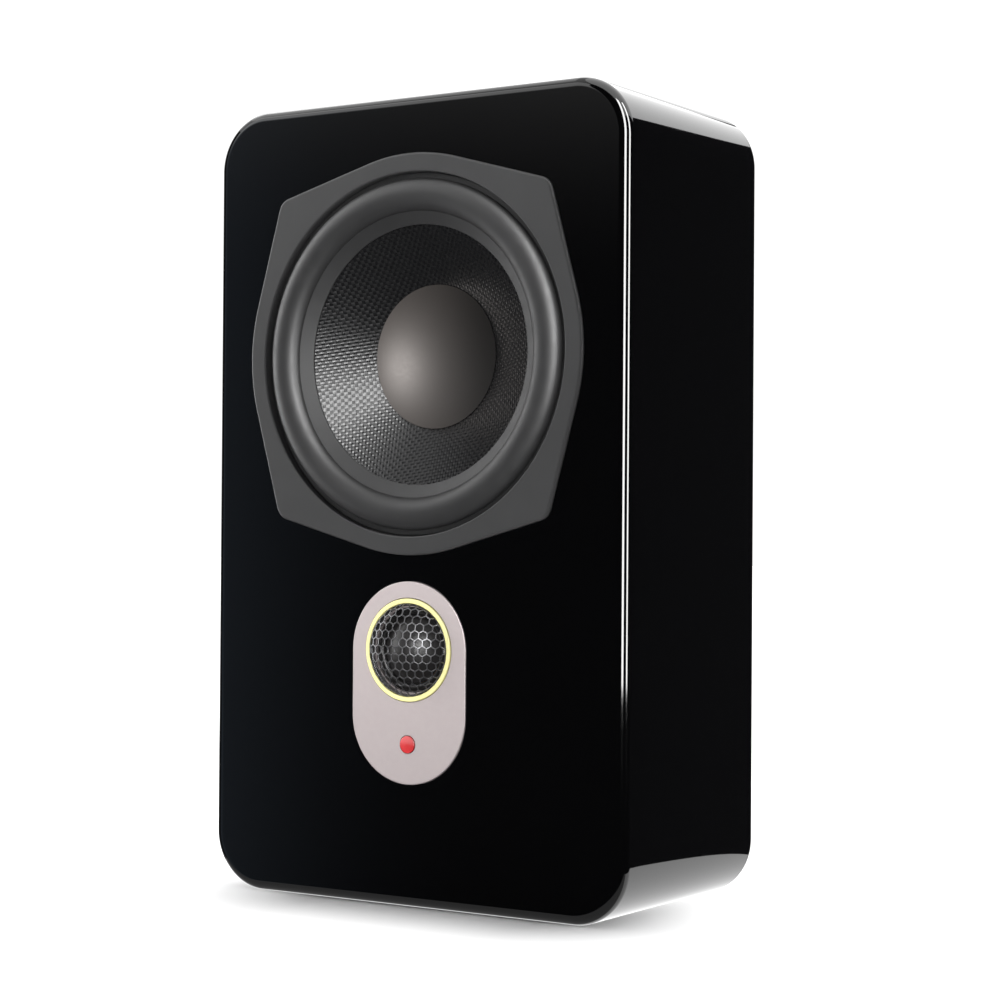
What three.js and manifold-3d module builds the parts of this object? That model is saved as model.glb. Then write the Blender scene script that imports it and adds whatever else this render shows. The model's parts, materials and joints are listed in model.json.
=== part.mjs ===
// Two-way bookshelf loudspeaker: a lacquered cabinet with rounded corners, a 130 mm class woofer above
// a 25 mm dome tweeter, and recessed binding posts at the back.
//
// Millimetres, +Z up. The origin is the centre of the cabinet's base, and the drivers face -Y.
// Inside the root group Y is a depth: 0 on the baffle's front face, growing towards the back.
import * as THREE from "three";
import { mergeVertices } from "three/addons/utils/BufferGeometryUtils.js";
import Module from "manifold-3d";

const wasm = await Module();
wasm.setup();

// ---------------------------------------------------------------- driving dimensions
const WIDTH = 184;
const HEIGHT = 300;
const DEPTH = 98;
const CORNER_R = 22;
const FRONT_EDGE_R = 4;
const REAR_EDGE_R = 1.5;
const WALL = 12;
const BAFFLE = 15;
const GAP = 0.3;

const WOOFER_Z = 204;
const TRIM_R = 74.3;
const TRIM_OPENING_R = 67.3;
const EAR_OFFSET = 55.5;
const EAR_R = 6;
const TRIM_PROUD = 1.5;
const SURROUND_OUTER_R = 65.5;
const SURROUND_INNER_R = 53;
const CONE_R = 48.3;
const CAP_R = 27.3;
const CAP_RIM_DEPTH = 16;
const CAP_RISE = 9;
const NECK_R = 13.4;

const TWEETER_Z = 94.8;
const PLATE_R = 25.3;
const PLATE_DROP = 24.3;
const PLATE_PROUD = 0.4;
const BADGE_DROP = 34.8;
const DOME_R = 12.5;
const GRILLE_R = 16.9;
const GRILLE_RISE = 7;
const HOLE_PITCH = 3.3;
const HOLE_R = 1.5;

const TERMINAL_Z = 70;
const CUP_WIDTH = 70;
const CUP_HEIGHT = 56;
const POST_OFFSET = 11;
const POST_R = 3.3;

// Facets round a full turn, by how large and how visible the piece is.
const FINE = 36;
const MEDIUM = 24;
const COARSE = 16;

// ---------------------------------------------------------------- materials
function finish(color, roughness, metalness = 0) {
  return new THREE.MeshStandardMaterial({ color, roughness, metalness });
}

const LACQUER = finish(0x060607, 0.06);
const RAW_BOARD = finish(0x9a7b58, 0.85);
const WADDING = finish(0xd9d7d0, 0.98);
const SATIN_TRIM = finish(0x3a3b3d, 0.42);
const CAST_FRAME = finish(0x1b1c1e, 0.55, 0.3);
const FOAM = finish(0x1e1e1e, 0.95);
const ZINC_SCREW = finish(0x222325, 0.35, 0.8);
const BUTYL_RUBBER = finish(0x3c3d3f, 0.55);
const WOVEN_FIBRE = finish(0x6d6e70, 0.45, 0.2);
const CAP_PLASTIC = finish(0x4a4b4e, 0.4, 0.1);
const SPIDER_CLOTH = finish(0xb08a45, 0.9);
const FORMER_FOIL = finish(0xc8c9cb, 0.35, 0.8);
const COPPER = finish(0xb86b35, 0.35, 0.9);
const PLATED_STEEL = finish(0xa9abad, 0.35, 0.9);
const FERRITE = finish(0x2b2c2e, 0.7);
const NEODYMIUM = finish(0xc5c7c9, 0.25, 1);
const PHENOLIC = finish(0x5a3620, 0.7);
const SILVER_PLATE = finish(0xc9bfbf, 0.38, 0.35);
const GOLD = finish(0xd2a73a, 0.3, 0.9);
const GRILLE_STEEL = finish(0x2a2a2c, 0.35, 0.7);
const SILK = finish(0x17181a, 0.6);
const MOULDED_BLACK = finish(0x151516, 0.55);
const ENAMEL_RED = finish(0xa81c22, 0.3);
const POST_METAL = finish(0xc9a24a, 0.25, 1);
const KNOB_RED = finish(0x9c1216, 0.35);
const KNOB_BLACK = finish(0x121213, 0.35);
const BOARD_GREEN = finish(0x1f4a2e, 0.6);
const FILM_YELLOW = finish(0xd2a51e, 0.5);
const CEMENT = finish(0xd8d5cb, 0.9);
const CABLE_JACKET = finish(0x26272a, 0.5);

// ---------------------------------------------------------------- solids
// Only positions are kept, so shared corners merge, and triangles that collapse on an axis are dropped.
function toSolid(geometry) {
  const bare = new THREE.BufferGeometry();
  bare.setAttribute("position", geometry.getAttribute("position").clone());
  if (geometry.index) {
    bare.setIndex(geometry.index.clone());
  }
  const welded = mergeVertices(bare, 1e-4);
  const corners = welded.index.array;
  const points = welded.getAttribute("position");
  const corner = [new THREE.Vector3(), new THREE.Vector3(), new THREE.Vector3()];
  const kept = [];
  let volume = 0;
  for (let i = 0; i < corners.length; i += 3) {
    const [a, b, c] = [corners[i], corners[i + 1], corners[i + 2]];
    if (a === b || b === c || c === a) {
      continue;
    }
    kept.push([a, b, c]);
    corner.forEach((point, k) => point.fromBufferAttribute(points, kept.at(-1)[k]));
    volume += corner[0].dot(corner[1].clone().cross(corner[2]));
  }
  const facing = volume < 0 ? kept.map(([a, b, c]) => [a, c, b]) : kept;
  return new wasm.Manifold(new wasm.Mesh({
    numProp: 3,
    vertProperties: new Float32Array(points.array),
    triVerts: new Uint32Array(facing.flat()),
  }));
}

function toGeometry(solid) {
  const mesh = solid.getMesh();
  const geometry = new THREE.BufferGeometry();
  geometry.setAttribute("position", new THREE.Float32BufferAttribute(mesh.vertProperties, 3));
  geometry.setIndex(Array.from(mesh.triVerts));
  geometry.computeVertexNormals();
  return geometry;
}

function joined(solids) {
  return solids.reduce((whole, solid) => whole.add(solid));
}

function without(solid, cutters) {
  return cutters.reduce((rest, cutter) => rest.subtract(cutter), solid);
}

// A ring or disc turned about the Y axis from [radius, depth] pairs.
function turned(profile, segments = MEDIUM) {
  const points = profile.map(([radius, depth]) => new THREE.Vector2(radius, depth));
  if (profile[0][0] > 0) {
    points.push(points[0].clone());
  }
  return toSolid(new THREE.LatheGeometry(points, segments));
}

function disc(radius, from, to, segments = MEDIUM, x = 0, z = 0) {
  const geometry = new THREE.CylinderGeometry(radius, radius, to - from, segments);
  geometry.translate(x, (from + to) / 2, z);
  return toSolid(geometry);
}

function box(width, depthFrom, depthTo, height, x = 0, z = 0) {
  const geometry = new THREE.BoxGeometry(width, depthTo - depthFrom, height);
  geometry.translate(x, (depthFrom + depthTo) / 2, z);
  return toSolid(geometry);
}

// A front-view outline given thickness between two depths, with an optional rounded front or back edge.
function plate(outline, from, to, { edge = 0, roundBack = false, curve = 2, steps = 3 } = {}) {
  const geometry = new THREE.ExtrudeGeometry(outline, {
    depth: to - from - edge,
    curveSegments: curve,
    bevelEnabled: edge > 0,
    bevelThickness: edge,
    bevelSize: edge,
    bevelOffset: -edge,
    bevelSegments: steps,
  });
  geometry.rotateX(Math.PI / 2);
  geometry.translate(0, roundBack ? to - edge : to, 0);
  const solid = toSolid(geometry);
  if (edge === 0) {
    return solid;
  }
  const keptSlab = box(2 * HEIGHT, from, to, 2 * HEIGHT, 0, HEIGHT / 2);
  return solid.intersect(keptSlab);
}

// A round cable or bar along a smooth path through points given as [x, depth, z].
function cable(points, section, steps) {
  const path = new THREE.CatmullRomCurve3(points.map((point) => new THREE.Vector3(...point)));
  const geometry = new THREE.ExtrudeGeometry(section, {
    steps,
    extrudePath: path,
    curveSegments: 2,
    bevelEnabled: false,
  });
  return toSolid(geometry);
}

// ---------------------------------------------------------------- outlines
function roundedRectangle(width, height, radius, x = 0, z = 0) {
  const outline = new THREE.Shape();
  const right = x + width / 2 - radius;
  const left = x - width / 2 + radius;
  const top = z + height / 2 - radius;
  const bottom = z - height / 2 + radius;
  outline.absarc(right, bottom, radius, -Math.PI / 2, 0, false);
  outline.absarc(right, top, radius, 0, Math.PI / 2, false);
  outline.absarc(left, top, radius, Math.PI / 2, Math.PI, false);
  outline.absarc(left, bottom, radius, Math.PI, 1.5 * Math.PI, false);
  outline.closePath();
  return outline;
}

// Two half circles joined by straight sides: the upper one sits at z, the lower one `drop` below it.
function stadium(radius, drop, z = 0) {
  const outline = new THREE.Shape();
  outline.absarc(0, z, radius, 0, Math.PI, false);
  outline.absarc(0, z - drop, radius, Math.PI, 2 * Math.PI, false);
  outline.closePath();
  return outline;
}

// A circle with four corner ears, their straight edges running off as tangents of both circles.
function earedOutline(grow, z = 0) {
  const bodyRadius = TRIM_R + grow;
  const earRadius = EAR_R + grow;
  const reach = Math.hypot(EAR_OFFSET, EAR_OFFSET);
  const spread = Math.acos((bodyRadius - earRadius) / reach);
  const outline = new THREE.Shape();
  for (let quarter = 0; quarter < 4; quarter += 1) {
    const heading = Math.PI / 4 + (quarter * Math.PI) / 2;
    const earX = reach * Math.cos(heading);
    const earZ = z + reach * Math.sin(heading);
    const nextEar = heading + Math.PI / 2;
    outline.absarc(earX, earZ, earRadius, heading - spread, heading + spread, false);
    outline.absarc(0, z, bodyRadius, heading + spread, nextEar - spread, false);
  }
  outline.closePath();
  return outline;
}

// Points of a circular arc in a turned profile, from one angle to the other in degrees.
function profileArc(centreR, centreDepth, radiusR, radiusDepth, fromDeg, toDeg, steps) {
  const points = [];
  for (let i = 0; i <= steps; i += 1) {
    const angle = THREE.MathUtils.degToRad(fromDeg + ((toDeg - fromDeg) * i) / steps);
    points.push([centreR + radiusR * Math.cos(angle), centreDepth + radiusDepth * Math.sin(angle)]);
  }
  return points;
}

// A spherical cap over a rim, bulging towards the front, as points from the axis out to the rim.
function capArc(rimRadius, rimDepth, rise, steps) {
  const ball = (rimRadius ** 2 + rise ** 2) / (2 * rise);
  const points = [];
  for (let i = 0; i <= steps; i += 1) {
    const radius = (rimRadius * i) / steps;
    points.push([radius, rimDepth - rise + ball - Math.sqrt(ball ** 2 - radius ** 2)]);
  }
  return points;
}

// ---------------------------------------------------------------- scene graph
const speaker = new THREE.Group();
const cabinet = new THREE.Group();
const woofer = new THREE.Group();
const tweeter = new THREE.Group();
const terminals = new THREE.Group();
const crossover = new THREE.Group();
cabinet.position.set(0, -DEPTH / 2, 0);
woofer.position.set(0, 0, WOOFER_Z);
tweeter.position.set(0, 0, TWEETER_Z);
terminals.position.set(0, 0, TERMINAL_Z);
crossover.position.set(0, 0, WALL);
cabinet.add(woofer, tweeter, terminals, crossover);
speaker.add(cabinet);

function place(group, name, solid, material, x = 0, depth = 0, z = 0) {
  const mesh = new THREE.Mesh(toGeometry(solid), material);
  mesh.name = name;
  mesh.position.set(x, depth, z);
  group.add(mesh);
}

// ---------------------------------------------------------------- cabinet
const CAVITY_WIDTH = WIDTH - 2 * WALL;
const CAVITY_HEIGHT = HEIGHT - 2 * WALL;
const CAVITY_CORNER_R = CORNER_R - WALL;
const REAR_PANEL_FRONT = DEPTH - WALL;
const WOOFER_REBATE = 7;
const WOOFER_CUTOUT_R = 67;
const WOOFER_SCREW_R = 1.5;
const WOOFER_SCREW_HEAD_R = 3;
const WOOFER_SCREW_LENGTH = 9;
const PLATE_BACK = 3;
const HOUSING_R = 20.5;
const LUG_OFFSET = 29;
const LUG_SCREW_R = 1.3;
const PILOT_DEPTH = 12.5;
const LUG_PILOT_FRONT = 7;
const BRACE_BOTTOM = 126;
const BRACE_TOP = 136;
const BRACE_RIM = 14;
const BRACE_WINDOW_WIDTH = 54;
const BRACE_WINDOW_X = 40;
const BLANKET_WIDTH = 144;
const BLANKET_HEIGHT = 140;
const BLANKET_FRONT = 73;
const BLANKET_Z = 212;

function outerOutline() {
  return roundedRectangle(WIDTH, HEIGHT, CORNER_R, 0, HEIGHT / 2);
}

function cavityOutline(inset = 0) {
  const width = CAVITY_WIDTH - 2 * inset;
  const height = CAVITY_HEIGHT - 2 * inset;
  return roundedRectangle(width, height, CAVITY_CORNER_R - inset, 0, HEIGHT / 2);
}

// The four places at plus and minus x and z, anticlockwise from the upper right.
function fourPlaces(x, z) {
  return [[x, z], [-x, z], [-x, -z], [x, -z]];
}

function wooferScrewPlaces() {
  return fourPlaces(EAR_OFFSET, EAR_OFFSET);
}

function frontBaffle() {
  const panel = plate(outerOutline(), 0, BAFFLE, { edge: FRONT_EDGE_R, curve: 5, steps: 2 });
  const pilots = wooferScrewPlaces().map(([x, z]) => (
    disc(WOOFER_SCREW_R + GAP, WOOFER_REBATE - 1, PILOT_DEPTH, 8, x, WOOFER_Z + z)
  ));
  const lugPilots = [-LUG_OFFSET, LUG_OFFSET].map((x) => (
    disc(LUG_SCREW_R + GAP, LUG_PILOT_FRONT, BAFFLE + 1, 8, x, TWEETER_Z)
  ));
  return without(panel, [
    plate(earedOutline(GAP, WOOFER_Z), -1, WOOFER_REBATE, { curve: 3 }),
    disc(WOOFER_CUTOUT_R, -1, BAFFLE + 1, FINE, 0, WOOFER_Z),
    plate(stadium(PLATE_R + GAP, PLATE_DROP, TWEETER_Z), -1, PLATE_BACK + GAP, { curve: 8 }),
    disc(HOUSING_R + GAP, -1, BAFFLE + 1, MEDIUM, 0, TWEETER_Z),
    ...pilots,
    ...lugPilots,
  ]);
}

function cabinetShell() {
  const rounding = { edge: REAR_EDGE_R, roundBack: true, curve: 5, steps: 1 };
  const block = plate(outerOutline(), BAFFLE + GAP, DEPTH, rounding);
  return without(block, [plate(cavityOutline(), 0, DEPTH + 1)]);
}

const CUP_REBATE = 3.9;
const CUP_BODY_WIDTH = 54;
const CUP_BODY_HEIGHT = 40;
const CUP_CORNER_R = 8;
const CUP_BODY_CORNER_R = 6;
const CUP_SCREW_X = 30.2;
const CUP_SCREW_Z = 23.2;
const CUP_SCREW_R = 1.5;

function cupScrewPlaces() {
  return fourPlaces(CUP_SCREW_X, CUP_SCREW_Z);
}

// The cup's body outline with a gap all round it.
function cupCutout(z = 0) {
  return roundedRectangle(CUP_BODY_WIDTH + 2 * GAP, CUP_BODY_HEIGHT + 2 * GAP, CUP_BODY_CORNER_R, 0, z);
}

function rearPanel() {
  const panel = plate(cavityOutline(GAP), REAR_PANEL_FRONT, DEPTH);
  const rebate = roundedRectangle(CUP_WIDTH + 2 * GAP, CUP_HEIGHT + 2 * GAP, CUP_CORNER_R, 0, TERMINAL_Z);
  const pilots = cupScrewPlaces().map(([x, z]) => (
    disc(CUP_SCREW_R + GAP, DEPTH - WALL + 2, DEPTH, 8, x, TERMINAL_Z + z)
  ));
  return without(panel, [
    plate(rebate, DEPTH - CUP_REBATE, DEPTH + 1),
    plate(cupCutout(TERMINAL_Z), REAR_PANEL_FRONT - 1, DEPTH + 1),
    ...pilots,
  ]);
}

function shelfBrace() {
  const middle = (BRACE_BOTTOM + BRACE_TOP) / 2;
  const from = BAFFLE + 2 * GAP;
  const to = REAR_PANEL_FRONT - GAP;
  const board = box(CAVITY_WIDTH - 2 * GAP, from, to, BRACE_TOP - BRACE_BOTTOM, 0, middle);
  const windows = [-BRACE_WINDOW_X, BRACE_WINDOW_X].map((x) => (
    box(BRACE_WINDOW_WIDTH, from + BRACE_RIM, to - BRACE_RIM, 30, x, middle)
  ));
  return without(board, windows);
}

function dampingBlanket() {
  const outline = roundedRectangle(BLANKET_WIDTH, BLANKET_HEIGHT, 8, 0, BLANKET_Z);
  return plate(outline, BLANKET_FRONT, REAR_PANEL_FRONT - GAP);
}

place(cabinet, "front_baffle", frontBaffle(), LACQUER);
place(cabinet, "cabinet_shell", cabinetShell(), LACQUER);
place(cabinet, "rear_panel", rearPanel(), LACQUER);
place(cabinet, "shelf_brace", shelfBrace(), RAW_BOARD);
place(cabinet, "damping_blanket", dampingBlanket(), WADDING);

// ---------------------------------------------------------------- woofer
const FLANGE_FRONT = 2.5;
const FLANGE_BACK = 5;
const FLANGE_OPENING_R = 64.6;
const BASKET_R = 66.6;
const BASKET_NECK_R = 46;
const BASKET_WALL = 2.2;
const BASKET_BORE_R = 24;
const LANDING_DEPTH = 33;
const LANDING_R = 36.8;
const LANDING_THICKNESS = 2;
const BASKET_BACK = 43.5;
const GAP_PLATE_BACK = 49;
const MAGNET_BACK = 64;
const YOKE_BACK = 69.3;
const POLE_R = 12;
const VENT_R = 4;
const YOKE_R = 40;
const MAGNET_R = 45;
const MAGNET_BORE_R = 20;
const COIL_GAP_R = 14.6;
const WINDOW_COUNT = 4;

function trimRing() {
  const edge = 1;
  const back = FLANGE_FRONT - GAP;
  const front = -TRIM_PROUD;
  const eared = plate(earedOutline(0), front, back, { edge, curve: 3 });
  const opening = turned([
    [0, front - 1], [TRIM_OPENING_R + edge, front - 1], [TRIM_OPENING_R + edge, front],
    [TRIM_OPENING_R + edge / 3, front + edge / 3], [TRIM_OPENING_R, front + edge], [TRIM_OPENING_R, back + 1],
    [0, back + 1],
  ], FINE);
  return eared.subtract(opening);
}

function basket() {
  const eared = plate(earedOutline(-GAP), FLANGE_FRONT, FLANGE_BACK, { curve: 3 });
  const flange = eared.subtract(disc(FLANGE_OPENING_R + 0.8, 0, FLANGE_BACK + 1, FINE));
  const innerNeckR = BASKET_NECK_R - BASKET_WALL;
  const seatFront = BASKET_BACK - BASKET_WALL;
  const landingBack = LANDING_DEPTH + LANDING_THICKNESS;
  const body = turned([
    [BASKET_R, FLANGE_FRONT], [BASKET_R, 8], [BASKET_NECK_R, 31.5], [BASKET_NECK_R, BASKET_BACK],
    [BASKET_BORE_R, BASKET_BACK], [BASKET_BORE_R, seatFront], [innerNeckR, seatFront],
    [innerNeckR, landingBack], [LANDING_R, landingBack], [LANDING_R, LANDING_DEPTH],
    [innerNeckR, LANDING_DEPTH], [innerNeckR, 30.3], [FLANGE_OPENING_R, 7.4],
    [FLANGE_OPENING_R, FLANGE_FRONT],
  ], MEDIUM);
  const windows = [];
  for (let i = 0; i < WINDOW_COUNT; i += 1) {
    const opening = new THREE.BoxGeometry(50, 15, 40);
    opening.translate(0, 18.5, 62);
    opening.rotateY((i * 2 * Math.PI) / WINDOW_COUNT);
    windows.push(toSolid(opening));
  }
  const screwHoles = wooferScrewPlaces().map(([x, z]) => (
    turnedScrew(GAP, FLANGE_FRONT, 1).translate([x, 0, z])
  ));
  return without(joined([without(body, windows), flange]), screwHoles);
}

// A countersunk screw from its head's face at `depth`, grown all round by `grow` to cut its hole.
function turnedScrew(grow, depth, reach = 0) {
  const tip = depth + WOOFER_SCREW_LENGTH + reach;
  const headR = WOOFER_SCREW_HEAD_R + grow;
  const shankR = WOOFER_SCREW_R + grow;
  return turned([
    [0, depth - reach], [headR, depth - reach], [headR, depth + 0.3], [shankR, depth + 1.8],
    [shankR, tip - 1], [0, tip],
  ], 8);
}

function wooferGasket() {
  const eared = plate(earedOutline(-GAP), FLANGE_BACK + GAP, WOOFER_REBATE - GAP, { curve: 3 });
  const opening = disc(WOOFER_CUTOUT_R + 0.4, 0, WOOFER_REBATE, FINE);
  const holes = wooferScrewPlaces().map(([x, z]) => disc(WOOFER_SCREW_R + GAP, 4, 8, 8, x, z));
  return without(eared, [opening, ...holes]);
}

// Half-roll of rubber between a flat outer foot and a flat inner lip.
function wooferSurround() {
  const footR = 66.8;
  const face = 1.6;
  const seat = 2;
  const middle = (SURROUND_OUTER_R + SURROUND_INNER_R) / 2;
  const reach = (SURROUND_OUTER_R - SURROUND_INNER_R) / 2;
  const skin = 0.7;
  return turned([
    [footR, face],
    ...profileArc(middle, seat - 0.4, reach, 4.8, 0, -180, 5),
    [CONE_R, face], [CONE_R, seat + 0.1],
    ...profileArc(middle, seat + 0.1, reach - skin, 4.6, -180, 0, 5),
    [footR, seat + 0.1],
  ], FINE);
}

function wooferCone() {
  const skin = 0.95;
  const rimR = 52.8;
  const rimDepth = 2.5;
  const seatDepth = CAP_RIM_DEPTH + 0.2;
  const neckDepth = 25.4;
  return turned([
    [rimR, rimDepth], [CONE_R, rimDepth], [CAP_R, seatDepth], [NECK_R, neckDepth],
    [NECK_R, neckDepth + skin], [CAP_R, seatDepth + skin], [CONE_R - 0.4, rimDepth + skin],
    [rimR, rimDepth + 0.6],
  ], FINE);
}

function dustCap() {
  const rimRadius = CAP_R - 0.3;
  const skin = 0.8;
  const outer = capArc(rimRadius, CAP_RIM_DEPTH, CAP_RISE, 5);
  const inner = capArc(rimRadius - skin, CAP_RIM_DEPTH, CAP_RISE - skin, 5).reverse();
  return turned([...outer, ...inner]);
}

// Corrugated cloth disc: waves between its glued inner edge and its landing on the basket.
function spider() {
  const innerR = NECK_R;
  const landingR = 37;
  const outerR = 41.5;
  const waves = 3;
  const waveDepth = 2.2;
  const steps = waves * 2;
  const skin = 0.5;
  const front = [];
  for (let i = 0; i <= steps; i += 1) {
    const radius = innerR + ((landingR - innerR) * i) / steps;
    front.push([radius, LANDING_DEPTH - 0.8 - (i % 2) * waveDepth]);
  }
  const back = front.map(([radius, depth]) => [radius, depth + skin]).reverse();
  return turned([...front, [outerR, LANDING_DEPTH - 0.8], [outerR, LANDING_DEPTH - GAP], ...back]);
}

function yoke() {
  const plateFront = MAGNET_BACK + GAP;
  return turned([
    [VENT_R, BASKET_BACK], [POLE_R, BASKET_BACK], [POLE_R, plateFront], [YOKE_R, plateFront],
    [YOKE_R, YOKE_BACK - 1], [YOKE_R - 1, YOKE_BACK], [VENT_R, YOKE_BACK],
  ]);
}

function ring(innerR, outerR, from, to, segments = MEDIUM) {
  return turned([[innerR, from], [outerR, from], [outerR, to], [innerR, to]], segments);
}

place(woofer, "woofer_trim_ring", trimRing(), SATIN_TRIM);
place(woofer, "woofer_basket", basket(), CAST_FRAME);
place(woofer, "woofer_gasket", wooferGasket(), FOAM);
wooferScrewPlaces().forEach(([x, z], i) => {
  place(woofer, `woofer_screw_${i + 1}`, turnedScrew(0, FLANGE_FRONT), ZINC_SCREW, x, 0, z);
});
place(woofer, "woofer_surround", wooferSurround(), BUTYL_RUBBER);
place(woofer, "woofer_cone", wooferCone(), WOVEN_FIBRE);
place(woofer, "woofer_dust_cap", dustCap(), CAP_PLASTIC);
place(woofer, "woofer_spider", spider(), SPIDER_CLOTH);
place(woofer, "woofer_coil_former", ring(12.5, 13, 24, 52), FORMER_FOIL);
place(woofer, "woofer_coil_winding", ring(13.3, 14.1, 40.5, 51.5), COPPER);
place(woofer, "woofer_top_plate", ring(COIL_GAP_R, YOKE_R, BASKET_BACK + GAP, GAP_PLATE_BACK), PLATED_STEEL);
place(woofer, "woofer_magnet", ring(MAGNET_BORE_R, MAGNET_R, GAP_PLATE_BACK + GAP, MAGNET_BACK), FERRITE);
place(woofer, "woofer_yoke", yoke(), PLATED_STEEL);
place(woofer, "woofer_terminal_strip", box(22, 34, 42.5, 2, 0, -47.4), PHENOLIC);

// ---------------------------------------------------------------- tweeter
const RING_SEAT = 1.5;
const CUP_FRONT = 4;
const CUP_BACK = 16;
const CUP_R = 18.5;
const TWEETER_RING_R = 19;
const MOUTH_R = 15.8;
const BADGE_R = 3.2;
const HOUSING_BACK = 21;
const POLE_DISC_BACK = 7;
const TWEETER_MAGNET_END = 13;
const LUG_THICKNESS = 3;

function tweeterFaceplate() {
  const rounding = { edge: 0.5, steps: 2, curve: 8 };
  const body = plate(stadium(PLATE_R, PLATE_DROP), -PLATE_PROUD, PLATE_BACK, rounding);
  return without(body, [
    disc(TWEETER_RING_R + GAP, -2, RING_SEAT),
    disc(MOUTH_R, -2, PLATE_BACK + 1),
    disc(BADGE_R + GAP, -2, 0.4, COARSE, 0, -BADGE_DROP),
  ]);
}

function tweeterTrimRing() {
  const innerR = 17.2;
  const outerR = TWEETER_RING_R;
  const back = RING_SEAT - GAP;
  return turned([
    [innerR, back], [innerR, -0.5], [innerR + 0.4, -0.9], [outerR - 0.4, -0.9], [outerR, -0.5],
    [outerR, back],
  ]);
}

// Sheet-steel dome pressed over the silk dome, punched with hexagonal holes on a triangular grid.
function meshGrille() {
  const skin = 0.6;
  const rimDepth = RING_SEAT - 2 * GAP;
  const outer = capArc(GRILLE_R, rimDepth - 0.5, GRILLE_RISE, 3);
  const inner = capArc(GRILLE_R - skin, rimDepth - 0.5, GRILLE_RISE - skin, 3).reverse();
  const shell = turned([...outer, [GRILLE_R, rimDepth], [GRILLE_R - skin, rimDepth], ...inner], COARSE);
  const holes = [];
  const rows = 6;
  for (let row = -rows; row <= rows; row += 1) {
    const z = row * HOLE_PITCH * Math.sin(Math.PI / 3);
    for (let column = -rows; column <= rows; column += 1) {
      const x = (column + (row % 2 === 0 ? 0 : 0.5)) * HOLE_PITCH;
      if (Math.hypot(x, z) < GRILLE_R - 2.6) {
        holes.push(disc(HOLE_R, -9, 3, 6, x, z));
      }
    }
  }
  return without(shell, holes);
}

function tweeterDome() {
  const skin = 0.35;
  const rimDepth = 3.3;
  const rise = 4.5;
  const outer = capArc(DOME_R, rimDepth, rise, 4);
  const inner = capArc(DOME_R - skin, rimDepth, rise - skin, 4).reverse();
  return turned([...outer, ...inner], COARSE);
}

function tweeterSurround() {
  const footR = 18;
  const rollR = 14.1;
  const face = 3.35;
  const back = 3.7;
  return turned([
    [footR, face],
    ...profileArc(rollR, face, 1.3, 1.5, 0, -180, 3),
    [rollR - 1.3, back],
    ...profileArc(rollR, back, 1, 1.3, -180, 0, 3),
    [footR, back],
  ], COARSE);
}

function yokeCup() {
  const boreR = 13.8;
  return turned([
    [0, TWEETER_MAGNET_END], [boreR, TWEETER_MAGNET_END], [boreR, CUP_FRONT], [CUP_R, CUP_FRONT],
    [CUP_R, CUP_BACK], [0, CUP_BACK],
  ]);
}

function tweeterHousing() {
  const wallR = CUP_R + GAP;
  const shell = turned([
    [wallR, PLATE_BACK + GAP], [HOUSING_R, PLATE_BACK + GAP], [HOUSING_R, HOUSING_BACK], [3, HOUSING_BACK],
    [3, HOUSING_BACK - 2], [wallR, HOUSING_BACK - 2],
  ]);
  const lugs = [-1, 1].map((side) => (
    box(16, BAFFLE + GAP, BAFFLE + GAP + LUG_THICKNESS, 12, side * 26.5)
  ));
  const holes = [-LUG_OFFSET, LUG_OFFSET].map((x) => (
    disc(LUG_SCREW_R + GAP, BAFFLE, BAFFLE + 5, 8, x)
  ));
  const inside = disc(wallR, PLATE_BACK, HOUSING_BACK - 2);
  return without(joined([shell, ...lugs]), [...holes, inside]);
}

function lugScrew() {
  const tip = LUG_PILOT_FRONT + 1.5;
  const headR = 2.9;
  const headSeat = BAFFLE + 2 * GAP + LUG_THICKNESS;
  return turned([
    [0, tip], [LUG_SCREW_R, tip + 1], [LUG_SCREW_R, headSeat], [headR, headSeat], [headR, headSeat + 1.4],
    [headR - 0.9, headSeat + 2], [0, headSeat + 2],
  ], 8);
}

function badgeDot() {
  return turned([
    [0, -0.9], [BADGE_R - 1, -0.8], [BADGE_R, -0.5], [BADGE_R, 0.1], [0, 0.1],
  ], COARSE);
}

place(tweeter, "tweeter_faceplate", tweeterFaceplate(), SILVER_PLATE);
place(tweeter, "tweeter_trim_ring", tweeterTrimRing(), GOLD);
place(tweeter, "tweeter_mesh_grille", meshGrille(), GRILLE_STEEL);
place(tweeter, "tweeter_dome", tweeterDome(), SILK);
place(tweeter, "tweeter_surround", tweeterSurround(), SILK);
place(tweeter, "tweeter_voice_coil", ring(12.1, 12.6, CUP_FRONT, 10), COPPER);
place(tweeter, "tweeter_pole_disc", disc(11.6, CUP_FRONT, POLE_DISC_BACK), PLATED_STEEL);
place(tweeter, "tweeter_magnet", disc(11.3, POLE_DISC_BACK + GAP, TWEETER_MAGNET_END - GAP), NEODYMIUM);
place(tweeter, "tweeter_yoke_cup", yokeCup(), PLATED_STEEL);
place(tweeter, "tweeter_housing", tweeterHousing(), MOULDED_BLACK);
place(tweeter, "tweeter_screw_left", lugScrew(), ZINC_SCREW, -LUG_OFFSET);
place(tweeter, "tweeter_screw_right", lugScrew(), ZINC_SCREW, LUG_OFFSET);
place(tweeter, "faceplate_badge_dot", badgeDot(), ENAMEL_RED, 0, 0, -BADGE_DROP);

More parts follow.
